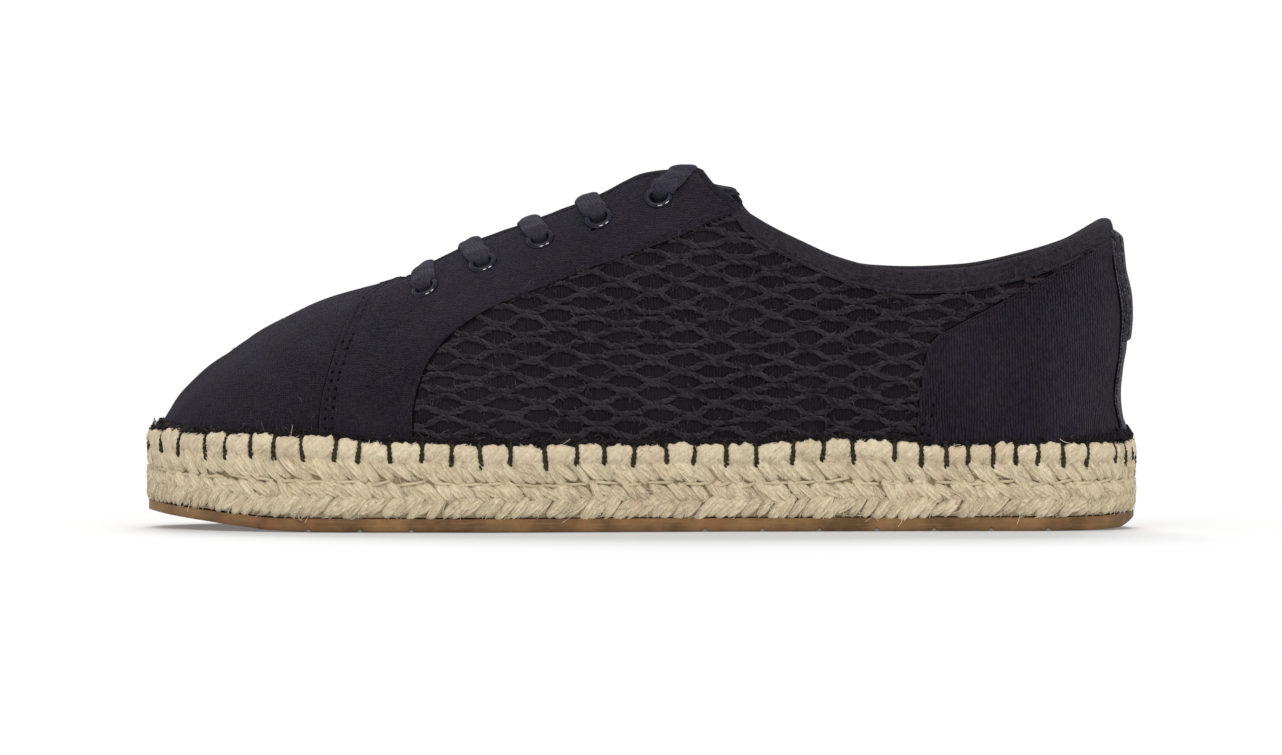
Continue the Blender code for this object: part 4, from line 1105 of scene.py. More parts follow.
def stampTree():
    # one shape set down on every point, turned and sized by the point's own values
    tree, given, result = startTree(
        "Geometry", "stampOnPoints",
        [("Geometry", "Geometry", None), ("Stamp", "Object", None), ("Size", "Float", 1.0),
         ("Jitter", "Float", 0.0), ("Seed", "Int", 0), ("Material", "Material", None)],
        [("Geometry", "Geometry")],
    )
    shape = addNode(tree, "GeometryNodeObjectInfo", {"Object": given["Stamp"]}, transform_space="ORIGINAL")
    low, high = [calcVector(tree, "SCALE", (way, way, way), given["Jitter"]) for way in (-1, 1)]
    inputs = {"Min": low, "Max": high, "Seed": given["Seed"]}
    chance = addNode(tree, "FunctionNodeRandomValue", inputs, data_type="FLOAT_VECTOR").outputs[0]
    turn = calcVector(tree, "ADD", attributeOf(tree, "turn", "FLOAT_VECTOR"), chance)
    size = calcVector(tree, "SCALE", attributeOf(tree, "size", "FLOAT_VECTOR"), given["Size"])
    spin = addNode(tree, "FunctionNodeEulerToRotation", {0: turn}).outputs[0]
    points = addNode(tree, "GeometryNodeMeshToPoints", {"Mesh": given["Geometry"]})
    inputs = {"Points": points.outputs[0], "Instance": shape.outputs["Geometry"], "Rotation": spin,
              "Scale": size}
    placed = addNode(tree, "GeometryNodeInstanceOnPoints", inputs)
    endNodes(tree, placed.outputs[0], given["Material"], result)
    return tree


trees = {"cord": cordTree(), "stamp": stampTree()}


def runTree(name, treeName, mesh, values):
    base = bpy.data.objects.new(name, mesh)
    bpy.context.scene.collection.objects.link(base)
    tree = trees[treeName]
    grown = base.modifiers.new("growth", "NODES")
    grown.node_group = tree
    for socket in tree.interface.items_tree:
        if socket.item_type == "SOCKET" and socket.in_out == "INPUT" and socket.name in values:
            grown[socket.identifier] = values[socket.name]
    made = settle(base)
    for leftOver in ("width", "turn", "size"):
        if leftOver in made.data.attributes:
            made.data.attributes.remove(made.data.attributes[leftOver])
    return made


def growCords(name, paths, thickness, finish, sides, waver, waverSize, seed=0.0):
    # paths: (points in mm, tone, width shares or None, closed); waver is how far the cords stray, in mm
    points, edges, tones, widths = [], [], [], []
    count = 0
    for path, tone, width, closed in paths:
        n = len(path)
        points.append(path)
        tones.append(np.broadcast_to(np.asarray(tone, float), n))
        widths.append(np.ones(n) if width is None else width)
        edges.append(np.stack([np.arange(n - 1), np.arange(1, n)], -1) + count)
        if closed:
            edges.append(np.array([[count + n - 1, count]]))
        count += n
    mesh = bpy.data.meshes.new(name)
    mesh.from_pydata((np.concatenate(points) * mm).tolist(), np.concatenate(edges).tolist(), [])
    keepValues(mesh, "tone", np.concatenate(tones))
    keepValues(mesh, "width", np.concatenate(widths))
    values = {"Thickness": thickness * mm, "Sides": sides, "Waver": waver * mm, "Waver Size": waverSize,
              "Seed": seed, "Material": finish}
    return runTree(name, "cord", mesh, values)


def setStamps(name, stamp, rows, finish, jitter=0.0, seed=1):
    # rows: (place in mm, long direction, outward direction, size in mm, tone)
    mesh = bpy.data.meshes.new(name)
    mesh.from_pydata([tuple(r[0] * mm) for r in rows], [], [])
    turns = []
    for _, along, out, _, _ in rows:
        along, out = Vector(along).normalized(), Vector(out)
        out = (out - along * out.dot(along)).normalized()
        turns.append(tuple(Matrix((along, out.cross(along), out)).transposed().to_euler()))
    keepValues(mesh, "turn", turns)
    keepValues(mesh, "size", [np.asarray(r[3], float) * mm for r in rows])
    keepValues(mesh, "tone", [r[4] for r in rows])
    made = runTree(name, "stamp", mesh, {"Stamp": stamp, "Jitter": jitter, "Seed": seed, "Material": finish})
    bpy.data.objects.remove(stamp)
    return made


def strandStamp(name, rings=7, lift=0.24, uvLength=0.008):
    # a leaf of braid, one unit long: three yarns side by side that dip under their neighbours at both ends
    section = ((-0.50, -0.06), (-0.36, 0.38), (-0.19, 0.28), (0.0, 0.46), (0.19, 0.29), (0.36, 0.39),
               (0.50, -0.06), (0.22, -0.32), (-0.22, -0.32))
    points, uv = [], []
    for i in range(rings):
        t = i / (rings - 1)
        body = max(0.34, math.sin(math.pi * (0.06 + 0.88 * t)) ** 0.42)
        for j, (y, z) in enumerate(section):
            points.append((t - 0.5, y * body, z * body + lift * (math.sin(math.pi * t) ** 0.8 - 1)))
            uv.append((t * uvLength, j / len(section) * uvLength * 0.6 + t * 0.0022))
    return makePiece(name, np.array(points) / mm, tubeFaces(rings, len(section)), [], uv, weld=0)


# the braided rope sole
braid = {
    "pitch": 3.42, "seed": 11, "coreInside": 1.75,
    # height share, rise of the strand (+ up, - down along the walk), angle, length, width, depth, outwards
    "rows": ((0.645, -1, 46, 9.9, 3.5, 2.2, -0.98), (0.352, -1, 42, 7.6, 3.4, 2.2, -0.98),
             (0.150, 1, 46, 8.6, 3.5, 2.2, -1.00)),
    "threadHeight": 0.462,
}
ropeTall = 21.0  # the rope's usual height, from which shares of it are worked out
# where the braid's end is tucked in
splice = {"at": 252.0, "wide": 7.0, "sag": 1.1, "bulge": 0.35, "turn": 9.0}


def makeRopeCore():
    count = 520
    gone = np.arange(count) / count * ropeRound
    # distance inside the widest line, and height share
    section = [(14, 0.02), (5, 0.01)] + [(braid["coreInside"], h * 0.96) for h in np.linspace(0, 1, 15)]
    section += [(4.5, 0.985), (8, 0.985), (14, 0.985)]
    points = np.concatenate([ropePoint(gone, height, -inside)[0] for inside, height in section])
    faces = gridQuads(len(section), count, closed=True)
    for base in (0, (len(section) - 1) * count):
        for i in range(count // 2):
            cap = dict.fromkeys((base + i, base + i + 1, base + (count - i - 1), base + (count - i) % count))
            faces.append(tuple(cap))
    return makePiece("ropeCore", points, faces, [finishes["core"]])


def makeStrands():
    rng = np.random.default_rng(braid["seed"])
    rows = []
    for number, (height, rise, angle, length, width, depth, outwards) in enumerate(braid["rows"]):
        count = round(ropeRound / braid["pitch"])
        gone = (np.arange(count) + 0.5 * number + rng.normal(0, 0.12, count)) * ropeRound / count
        tones = np.clip(rng.normal(0.5, 0.22, count), 0, 1)
        join = np.exp(-(((gone - splice["at"]) / splice["wide"]) ** 2))
        sag = splice["sag"] / ropeTall * join * (1.0 if number == 2 else 0.3)
        height = height + rng.normal(0, 0.014, count) - sag
        outwards = outwards + rng.normal(0, 0.17, count) + splice["bulge"] * join
        place, along, away = ropePoint(gone, height, outwards)
        for i in range(count):
            tilt = math.radians(angle + rng.normal(0, 6.5) + splice["turn"] * join[i])
            squeeze = float(ropeHeight(place[i, 0]) / ropeTall)
            long = np.append(along[i] * math.cos(tilt), rise * math.sin(tilt))
            out = np.append(away[i], 0.0)
            scale = rng.normal(1, (0.07, 0.10, 0.08))
            size = np.array([length * (0.4 + 0.6 * squeeze), width, depth]) * scale
            rows.append((place[i], long, out, size, tones[i]))
    return setStamps("ropeStrands", strandStamp("leafStamp"), rows, finishes["jute"], jitter=0.06)


tuft = {"step": 0.42, "rows": 24, "dome": 0.42, "valley": 0.66, "valleyWide": 0.8, "lean": 44, "ridge": 0.24,
        "ridgeSize": 1.45, "seed": 23}
# the top braid's section: height share and distance outside the widest line
tuftSection = tableOf(
    "t height out",
    (0.0, 0.66, -2.3), (0.08, 0.71, -1.55), (0.16, 0.75, -1.05), (0.26, 0.80, -0.68), (0.38, 0.85, -0.42),
    (0.50, 0.90, -0.34), (0.62, 0.945, -0.42), (0.72, 0.98, -0.72), (0.80, 1.005, -1.20), (0.88, 1.015, -2.0),
    (1.0, 1.0, -3.6),
)


def makeTuftBand():
    # the top braid, pulled in at each blanket stitch, with its yarns leaning forward
    rng = np.random.default_rng(tuft["seed"])
    knots = np.append(stitchGone, ropeRound + stitchGone[0])
    gone = np.concatenate([np.linspace(a, b, round((b - a) / tuft["step"]), endpoint=False)
                           for a, b in zip(knots[:-1], knots[1:])])
    number = np.searchsorted(knots, gone, side="right") - 1
    wide = np.diff(knots)[number]
    t = (gone - knots[number]) / wide
    nearest = np.minimum(t, 1 - t) * wide
    dome = rng.normal(tuft["dome"], 0.13, len(knots))[number] * (4 * t * (1 - t)) ** 0.6
    dip = np.exp(-((nearest / tuft["valleyWide"]) ** 2))
    crest = (rng.normal(0, 0.016, len(knots))[number] + 0.014 * np.sin(math.pi * t)) - 0.034 * dip
    crest = crest + 0.013 * softNoise(flatSpots(gone), 2.6, 34) + 0.008 * softNoise(flatSpots(gone), 1.1, 35)
    tone = np.clip(rng.normal(0.5, 0.2, len(knots)), 0, 1)[number]
    v = np.linspace(0, 1, tuft["rows"])
    height, out = tuftSection["height"](v), tuftSection["out"](v)
    body = np.sin(math.pi * np.clip(v / 0.92, 0, 1)) ** 0.5
    upward = smoothStep(v, 0.35, 0.75)
    heights = height[None, :] + crest[:, None] * upward[None, :]
    outs = out[None, :] + (dome - tuft["valley"] * dip)[:, None] * body[None, :]
    flat = ropePoint(gone[:, None], heights, outs)[0]
    z = flat[..., 2]
    lean = math.radians(tuft["lean"])
    wander = 0.9 * softNoise(flat, 8, 27) + 0.35 * softNoise(flat, 2.6, 28)
    across = -gone[:, None] * math.sin(lean) + z * math.cos(lean)
    along = gone[:, None] * math.cos(lean) + z * math.sin(lean)
    ridge = 0.5 + np.abs(np.cos(math.pi * (across + wander) / tuft["ridgeSize"]))
    ridge = tuft["ridge"] * ridge * body[None, :] * (0.75 + 0.45 * softNoise(flat, 4, 30))
    outs = outs + ridge + 0.13 * softNoise(flat, 1.4, 31)
    points = np.swapaxes(ropePoint(gone[:, None], heights, outs)[0], 0, 1)
    uv = np.swapaxes(np.stack([along, across], -1), 0, 1).reshape(-1, 2) * mm
    faces = gridQuads(len(v), len(gone), closed=True)
    tones = np.broadcast_to(tone[None, :], points.shape[:2])
    return makePiece("ropeTufts", points, faces, [finishes["jute"]], uv, weld=0, tones=tones)


fuzz = {"thick": 0.18, "count": 6800, "loose": 150, "seed": 53}


def makeRopeFibres():
    # short fibres that lie along the strands, and loose hairs that stand off them
    rng = np.random.default_rng(fuzz["seed"])
    zones = ((0.80, 1.01, 46, 1), (0.52, 0.79, 47, -1), (0.24, 0.42, 43, -1), (0.0, 0.23, 47, 1))
    chances = np.array([0.33, 0.27, 0.16, 0.24])
    paths = []
    for _ in range(fuzz["count"]):
        low, high, angle, rise = zones[rng.choice(4, p=chances)]
        gone, height = rng.uniform(0, ropeRound), rng.uniform(low, high)
        if height > 0.7 and np.min(np.abs(stitchGone - gone)) < 1.5:
            continue
        tilt = math.radians(angle + rng.normal(0, 27)) * rise
        t = np.linspace(-0.5, 0.5, 4) * rng.uniform(1.0, 3.4)
        bend = rng.normal(0, 0.10) * t * t
        heights = np.clip(height + (t * math.sin(tilt) + bend) / ropeTall, -0.02, 1.03)
        over = 0.9 * smoothStep(heights, 0.93, 1.03)
        outs = -0.16 + rng.normal(0, 0.08) + 0.22 * np.cos(np.linspace(-1.5, 1.5, 4))
        points = ropePoint(gone + t * math.cos(tilt), heights, outs - over - 0.2 * (heights < 0.08))[0]
        tone, width = rng.uniform(0.1, 1), np.array([0.4, 1, 0.95, 0.3]) * rng.uniform(0.6, 1.15)
        paths.append((points, tone, width, False))
    for _ in range(fuzz["loose"]):
        gone, height = rng.uniform(0, ropeRound), rng.choice([rng.uniform(0, 0.1), rng.uniform(0.1, 1.05)])
        t = np.linspace(0, 1, 7)
        turn, reach, curl = rng.uniform(0, math.tau), rng.uniform(1.4, 4.0), rng.normal(0, 1.6)
        heights = height + reach * (t * math.sin(turn) + 0.12 * curl * t * t) / ropeTall
        outs = -0.2 + rng.uniform(0.1, 0.9) * t ** 1.5
        walked = gone + reach * (t * math.cos(turn) - 0.12 * curl * np.sin(3 * t))
        points = ropePoint(walked, heights, outs)[0]
        paths.append((points, rng.uniform(0.2, 0.9), np.linspace(0.6, 0.25, len(t)), False))
    return growCords("ropeFibres", paths, fuzz["thick"], finishes["hair"], sides=3, waver=0.7, waverSize=380)


def makeRopeThread():
    # the running thread between the two braids: long stitches outside, short ones inside
    rng = np.random.default_rng(31)
    paths = []
    gone = 0.0
    while gone < ropeRound - 8:
        long = rng.uniform(4.2, 9)
        t = np.linspace(0, 1, 12)
        rise = 1.15 * np.sin(math.pi * t) ** 0.6 - 1.5 + rng.normal(0, 0.08)
        height = braid["threadHeight"] + rng.normal(0, 0.016) + rng.normal(0.02, 0.03) * (t - 0.5)
        paths.append((ropePoint(gone + long * t, height, rise)[0], rng.uniform(0.3, 0.75), None, False))
        gone += long + rng.uniform(0.9, 3.2)
    return growCords("ropeThread", paths, 0.95, finishes["yarn"], sides=6, waver=0.8, waverSize=420)


# blanket stitches that hold the upper down on the rope
blanket = {"thread": 0.94, "ply": 0.40, "twist": 2.6, "down": 6.3, "step": 0.42, "seed": 41}


def twistedPair(path, away, radius, pitch, phase=0.0, plies=2):
    # plies that wind round a path; away gives an outward direction at each point
    along = unit(np.gradient(path, axis=0))
    side = unit(np.cross(along, away))
    out = np.cross(side, along)
    gone = distanceAlong(path)
    found = []
    for ply in range(plies):
        turn = 2 * math.pi * (gone / pitch + ply / plies) + phase
        found.append(path + radius * (np.cos(turn)[:, None] * side + np.sin(turn)[:, None] * out))
    return found


def smoothPath(corners, step):
    # a rounded path through a few corners
    corners = np.asarray(corners, float)
    gone = distanceAlong(corners)
    t = np.linspace(0, gone[-1], max(4, int(gone[-1] / step)))
    return np.stack([curveThrough(gone, corners[:, k])(t) for k in range(3)], -1)


def makeBlanketStitches():
    rng = np.random.default_rng(blanket["seed"])
    paths = []
    for gone in stitchGone:
        lean = rng.normal(0, 0.45)
        down = blanket["down"] + rng.normal(0, 0.75)
        tall = ropeHeight(ropeAt(gone)[0])
        # distance inside the widest line, drop below the rope's top, and share of the lean
        stops = ((3.2, -2.2, 0), (2.35, -1.0, 0), (1.75, -0.1, 0), (1.05, 0.9, 0.1), (0.55, 2.2, 0.35),
                 (0.36, down * 0.6, 0.7), (0.42, down - 0.7, 1), (1.7, down + 0.2, 1))
        stops = [ropePoint(gone + lean * slip, 1 - drop / tall, -inside)[0] for inside, drop, slip in stops]
        path = smoothPath(stops, blanket["step"])
        away = np.broadcast_to(np.append(ropePoint(gone, 0.8, 0.0)[2], 0.05), path.shape)
        for ply in twistedPair(path, away, blanket["ply"], blanket["twist"], rng.uniform(0, 6)):
            paths.append((ply, rng.uniform(0, 0.8), None, False))
    return growCords("blanketStitches", paths, blanket["thread"], finishes["blanket"], sides=6, waver=0.25,
                     waverSize=700)


def makeJointCord():
    # the ragged ridge where the stitches lock the upper's turned-in edge to the rope
    count = 1500
    gone = np.linspace(0, ropeRound, count + 1)[:-1]
    rng = np.random.default_rng(43)
    phase = np.interp(gone, stitchGone, np.arange(len(stitchGone)))
    sag = 0.5 * np.cos(2 * math.pi * phase)
    x = ropeAt(gone)[:, 0]
    tall = ropeHeight(x)
    heel, toe = smoothStep(x, 120, 141), smoothStep(-x, 122, 141)
    lumps = softNoise(flatSpots(gone), 5, 9)
    paths = []
    for rise, outwards, radius, plies in ((0.9, -2.35, 0.42, 3), (1.6, -2.3, 0.45, 2)):
        lower = plies == 3
        rise = rise + 0.35 * sag + (1.0 + 0.5 * lumps) * heel + (0.2 if lower else 0.9) * toe
        outwards = outwards + 0.1 * sag + 0.12 * lumps
        outwards = outwards + (0.7 if lower else 0.2) * heel - (0.75 if lower else 1.6) * toe
        path, _, away = ropePoint(gone, 1 + rise / tall, outwards)
        out = np.concatenate([away, np.full((count, 1), 0.3)], 1)
        swell = 1 + (0.6 + 0.3 * lumps) * heel - 0.25 * toe
        for ply in twistedPair(path, out, (radius * swell)[:, None], ropeRound / 190, plies=plies):
            paths.append((ply, rng.uniform(0, 0.35), swell * (1 + 0.3 * softNoise(ply, 4, 3)), True))
    return growCords("jointCord", paths, 0.82, finishes["edge"], sides=5, waver=1.0, waverSize=520, seed=2.0)


finishPiece(makeRopeCore(), "jute_rope", "rope_midsole")
for piece in (makeStrands(), makeTuftBand(), makeRopeThread(), makeRopeFibres()):
    finishPiece(piece, "jute_rope")
for piece in (makeBlanketStitches(), makeJointCord()):
    finishPiece(piece, "canvas")
print("rope sole made")


# rubber outsole and cloth insole
# the cross grooves, in two runs: from x, to x and the step between them
tread = {"runs": ((-96.4, -66.5, 15.0), (18.6, 118.2, 16.6)), "deep": 0.85}


def makeOutsole():
    inset = sole["outsoleInset"]
    reach = sole["length"] / 2 - inset
    grooves = np.concatenate([np.linspace(a, b, round((b - a) / s) + 1) for a, b, s in tread["runs"]])
    xs = -reach * np.cos(np.linspace(0, math.pi, 150))
    xs = np.concatenate([xs] + [grooves + o for o in (-1.0, -0.8, -0.62, -0.4, 0, 0.4, 0.62, 0.8, 1.0)])
    xs = np.unique(np.round(xs, 3))
    depth = np.zeros(len(xs))
    for g in grooves:
        depth = np.maximum(depth, tread["deep"] * (1 - smoothStep(np.abs(xs - g), 0.15, 0.80)))
    # distance in from the edge, height share, groove share
    profile = ((9, 1, 0), (4, 1, 0), (1.1, 1, 0), (0.35, 0.97, 0), (0.05, 0.86, 0), (0, 0.62, 0),
               (0.03, 0.42, 0.1), (0.15, 0.26, 0.5), (0.5, 0.10, 0.9), (1.0, 0.02, 1), (2.0, 0, 1), (6, 0, 1),
               (12, 0, 1))
    half = halfWidth(xs, inset)
    rings = []
    for side, order in ((outer, 1), (inner, -1)):
        part = []
        for inside, height, groove in profile:
            y = plan["axis"](xs) + side * (half - np.minimum(inside, half))
            low = soleBottom(xs) + depth * groove + 2.4 * np.maximum(0, (xs - 138.6) / 4.9) ** 1.8
            z = low + (outsoleTop(xs) - low) * height
            part.append(np.stack([xs, y, z], -1))
        rings += part[::order]
    points = np.stack(rings, 1)
    wave = 0.10 * softNoise(points, 21, 51)[..., None] * np.array([0, 1, 0.4])
    points = points + wave * (points[..., 2:] > 0.6)
    points[..., 2] = np.maximum(points[..., 2], 0.0)
    return makePiece("outsole", points, tubeFaces(*points.shape[:2]), [finishes["rubber"]], creaseAngle=40)


def makeInsole():
    xs = -(sole["length"] / 2 - sole["insoleInset"]) * np.cos(np.linspace(0.02, math.pi - 0.02, 120))
    across = np.sin(np.linspace(-math.pi / 2, math.pi / 2, 60))
    x, v = np.meshgrid(xs, across, indexing="ij")
    half = halfWidth(x, sole["insoleInset"])
    y = plan["axis"](x) + v * half
    low = ropeTop(x) + 0.35
    edge = half * (1 - np.abs(v))
    cup = 0.7 * smoothStep(x, 40, 120) + 0.25
    top = low + 2.2 * rolled(edge, 0.9) + cup * np.abs(v) ** 5 + 0.25 * np.cos(2 * v)
    top += 0.12 * softNoise(flatSpots(x, y), 19, 61)
    under, top = np.stack([x, y, low], -1), np.stack([x, y, top], -1)
    return makeSheet("insole", under, top, np.stack([x, y], -1) * mm, finishes["sock"])


finishPiece(makeOutsole(), "gum_rubber", "outsole")
finishPiece(makeInsole(), "insole_cloth", "insole")
print("outsole and insole made")


# the collar binding, tongue, eyelets and lace
def makeBinding():
    ways = np.linspace(wayTo(binding["from"]), 1, 150)
    path = [(w, outer) for w in ways] + [(w, inner) for w in ways[-2::-1]]
    # the folded tape's section: distance outside the wall, and drop below the rim
    lip = [(-0.9 + 2.15 * np.cos(a), 0.25 - 1.25 * np.sin(a)) for a in np.linspace(0, math.pi, 9)]
    section = [(0.15, 6.25), (0.9, 6.2), (1.5, 5.7), (1.44, 5.2), (1.42, 4.7), (1.36, 4.2), (1.36, 1.5), *lip,
               (-3.05, 2.0), (-3.0, 4.6), (-2.6, 5.2), (-1.95, 5.0), (-1.95, 0.5), (-1.9, 0.2), (0.15, 0.2)]
    across, drop = np.array(section).T
    around = distanceAlong(np.array(section))
    rings, outs, cloth, gone, before = [], [], [], 0.0, None
    for way, side in path:
        spot = np.array([way])
        top, normal, _ = onLast(side, spot, rimShare(side, spot))
        under = onLast(side, spot, shareAtHeight(side, spot, top[:, 2] - 5.0))[0]
        top, normal, down = top[0], normal[0].copy(), (under - top)[0]
        if way == 1:
            top[1], normal[1], down[1] = plan["axis"](stationAt(1.0)), 0, 0
        normal[2] *= 0.4
        normal, down = unit(normal), unit(down)
        if before is not None:
            gone += np.linalg.norm(top - before)
        before = top
        furrow = 0.42 * np.exp(-(((drop - 4.7) / 0.5) ** 2)) * (across > 0)
        ruffle = 0.14 * softNoise(top[None, :], 9, 71)[0]
        tucked = 1 - smoothStep(stationAt(way), binding["from"], binding["from"] + 7.5)
        sunk = drop + 1.9 * tucked * np.exp(-np.maximum(drop, 0))
        rings.append(top + normal * (across - furrow + ruffle * (across > 0))[:, None] + down * sunk[:, None])
        outs.append(normal)
        cloth.append(np.stack([np.full(len(around), gone), around], -1) * mm)
    points, outs, cloth = np.array(rings), np.array(outs), np.array(cloth)
    seamLines.append((points[8:-8, 4], outs[8:-8], 0.5))
    # a dark line of painted shade under the binding's lower edge
    edgeShadeLines.append(((points[:, 0] + 0.15 * outs)[4:-4], 1.1))
    piece = makePiece("collarBinding", points, tubeFaces(*points.shape[:2]), [finishes["tape"]],
                      cloth.reshape(-1, 2))
    return finishPiece(piece, "binding_tape", "collar_binding")


def shareFromCrown(side, way, distance):
    # share of the section at a distance walked down from the crown
    up = readLast(side, way, lastShares)[:, 7] / mm
    return np.interp(up[-1] - distance, up, lastShares)


tongue = {"from": -80.0, "to": 19.0, "half": 23.0, "depth": 3.7, "thick": 2.0, "rows": 90, "columns": 56}


def makeTongue():
    xs = np.linspace(tongue["from"], tongue["to"], tongue["rows"])
    v = np.sin(np.linspace(-math.pi / 2, math.pi / 2, tongue["columns"]))
    flat, normal = np.zeros((len(xs), len(v), 3)), np.zeros((len(xs), len(v), 3))
    for i, x in enumerate(xs):
        share = (x - tongue["from"]) / (tongue["to"] - tongue["from"])
        half = tongue["half"] * (0.75 + 0.25 * min(1, share * 3.2))
        half *= 1 - 0.16 * max(0, (share - 0.86) / 0.14) ** 2
        way = wayTo(x)
        for side in (outer, inner):
            mask = (v < 0) if side == outer else (v >= 0)
            found, out, _ = onLast(side, way, shareFromCrown(side, way, np.abs(v[mask]) * half))
            flat[i, mask], normal[i, mask] = found, out
    edges = fromEdges(flat)
    near = np.minimum.reduce([edges[1], edges[2], edges[3]])
    furrow = 0.3 * np.exp(-(((near - 2.4) / 0.6) ** 2))
    rise = tongue["thick"] * rolled(near, 1.0) - furrow + 0.25 * softNoise(flat, 24, 81) - 0.1
    top = flat + normal * (rise - tongue["depth"] - tongue["thick"])[..., None]
    under = flat - normal * (tongue["depth"] + tongue["thick"])
    cloth = np.stack(np.meshgrid(xs, v * tongue["half"], indexing="ij"), -1) * mm
    return finishPiece(makeSheet("tongue", under, top, cloth, finishes["canvas"]), "canvas", "tongue")


eyeletShape = {"hole": 2.3, "outer": 4.3, "top": 2.4, "segments": 40}


def ringStamp():
    hole, wide, top = eyeletShape["hole"], eyeletShape["outer"], eyeletShape["top"]
    middle, half = (hole + wide) / 2, (wide - hole) / 2
    turns = np.linspace(0.02, math.pi - 0.02, 11)
    profile = [(hole, -1.9), (hole, top - 1.3)]
    profile += [(middle - half * math.cos(a), top - 1 + math.sin(a)) for a in turns]
    profile += [(wide - 0.1, top - 1.2), (hole + 0.5, top - 1.3), (hole + 0.45, -1.9)]
    segments, n = eyeletShape["segments"], len(profile)
    points = []
    for i in range(segments):
        angle = math.tau * i / segments
        points += [(r * math.cos(angle), r * math.sin(angle), h) for r, h in profile]
    faces = gridQuads(segments, n, closed=True)
    start = (segments - 1) * n
    faces += [(start + j, start + (j + 1) % n, (j + 1) % n, j) for j in range(n)]
    return makePiece("ringStamp", np.array(points) / mm, faces, [], weld=0)


def makeEyelets():
    seats = [eyeletSeat(number, side) for side in (outer, inner) for number in range(len(eyelets))]
    rows = [(point, np.cross(normal, (0, 0, 1)), normal, (1, 1, 1), 0.5) for point, normal, _, _ in seats]
    piece = setStamps("eyeletRings", ringStamp(), rows, finishes["enamel"])
    names = [f"eyelet_{nodeSides[side]}_{n + 1}" for side in (outer, inner) for n in range(len(eyelets))]
    return finishPiece(piece, "eyelet_metal", *names)


lace = {"width": 6.8, "thick": 2.3, "overEdge": 1.6, "step": 0.6}
laceSpread = (1.13, 1.0, 1.0, 1.04, 1.14)
# a bar's end: distance from the eyelet towards the crown, height above the last, width and thickness
laceEnd = ((-2.0, -3.4, 4.8, 1.5), (0.2, -3.2, 4.4, 1.6), (1.4, -1.6, 3.6, 1.9), (1.5, 0.2, 4.2, 2.0),
           (1.9, 1.7, 5.8, 2.3), (2.9, 2.6, 7.0, 2.5), (4.7, 2.5, 7.1, 2.3))


def bandMesh(name, centre, forward, widths, thicks):
    # a puffy flat band along a path; forward points across the band
    along = unit(np.gradient(centre, axis=0))
    wide = unit(forward - along * np.sum(forward * along, 1, keepdims=True))
    deep = np.cross(along, wide)
    count = 22
    angle = np.linspace(0, math.tau, count + 1)[:-1]
    a = np.sign(np.cos(angle)) * np.abs(np.cos(angle)) ** 0.85
    b = np.sign(np.sin(angle)) * np.abs(np.sin(angle))
    rings = centre[:, None] + wide[:, None] * (a[None, :, None] * widths[:, None, None] / 2)
    rings = rings + deep[:, None] * (b[None, :, None] * thicks[:, None, None] / 2)
    rings += 0.16 * softNoise(rings, 5.5, 91)[..., None] * deep[:, None]
    gone = distanceAlong(centre)
    around = a * 3.8 + np.where(b < 0, 9.0, 0.0)
    cloth = np.stack(np.broadcast_arrays(gone[:, None], around[None, :]), -1).reshape(-1, 2) * mm
    return makePiece(name, rings, tubeFaces(*rings.shape[:2]), [finishes["lace"]], cloth)


def makeLaceBar(number):
    x, _, lean = eyelets[number]
    over, broad, deep = lace["overEdge"], lace["width"], lace["thick"]
    arms = {}
    for side in (outer, inner):
        way = wayTo(x)
        up = readLast(side, way, lastShares)[:, 7] / mm
        reach = float(up[-1] - np.interp(eyeletSeat(number, side)[3], lastShares, up))
        edge = float(up[-1] - np.interp(rimShare(side, way), lastShares, up))
        stops = [(reach - g, lift, width, thick) for g, lift, width, thick in laceEnd]
        if stops[-1][0] - edge > 8:
            stops.append(((stops[-1][0] + edge) / 2, over + 0.05, broad, deep))
        stops += [(edge + 1.8, over, broad, deep), (edge - 0.4, over - 0.35, broad, deep * 1.1)]
        arms[side] = []
        for distance, lift, width, thick in stops:
            here = x + lean * (1 - (distance / reach) ** 2) * min(1, (reach - distance) / 4)
            share = shareFromCrown(side, wayTo(here), distance)
            point = onLast(side, wayTo(here), share, lift)[0]
            forward = onLast(side, wayTo(here - 1.5), share)[0] - onLast(side, wayTo(here + 1.5), share)[0]
            arms[side].append((point, unit(forward), width * laceSpread[number], thick))
    ends = arms[outer][-1], arms[inner][-1]
    middle = (ends[0][0] + ends[1][0]) / 2 + np.array((0.1 * lean, 0, -0.3))
    middle = middle, (ends[0][1] + ends[1][1]) / 2, broad, deep
    whole = arms[outer] + [middle] + arms[inner][::-1]
    columns = np.array([[*point, *forward, *size] for point, forward, *size in whole])
    gone = distanceAlong(columns[:, :3])
    t = np.linspace(0, gone[-1], max(12, int(gone[-1] / lace["step"])))
    fine = np.stack([curveThrough(gone, columns[:, k])(t) for k in range(8)], -1)
    for _ in range(3):
        fine[1:-1] = (fine[:-2] + 2 * fine[1:-1] + fine[2:]) / 4
    piece = bandMesh(f"laceBar{number + 1}", fine[:, :3], fine[:, 3:6], fine[:, 6], fine[:, 7])
    return finishPiece(piece, "lace_cotton", f"lace_bar_{number + 1}")


def makeUnderRuns():
    # the hidden runs under the eyestays, which climb from one pair of eyelets to the next
    for side, first in ((outer, 0), (outer, 2), (inner, 1), (inner, 3)):
        seats = [eyeletSeat(n, side) for n in (first, first + 1)]
        t = np.linspace(-1, 1, 24)
        ways, shares = [np.linspace(seats[0][k], seats[1][k], len(t)) for k in (2, 3)]
        centre, normal, _ = onLast(side, ways, shares, -2.75 + 0.2 * np.cos(math.pi * t))
        forward = np.cross(normal, np.gradient(centre, axis=0))
        name = f"laceRun{sideNames[side]}{first + 1}"
        piece = bandMesh(name, centre, forward, 5.0 - 1.6 * np.abs(t) ** 3, np.full(len(t), 1.2))
        finishPiece(piece, "lace_cotton")


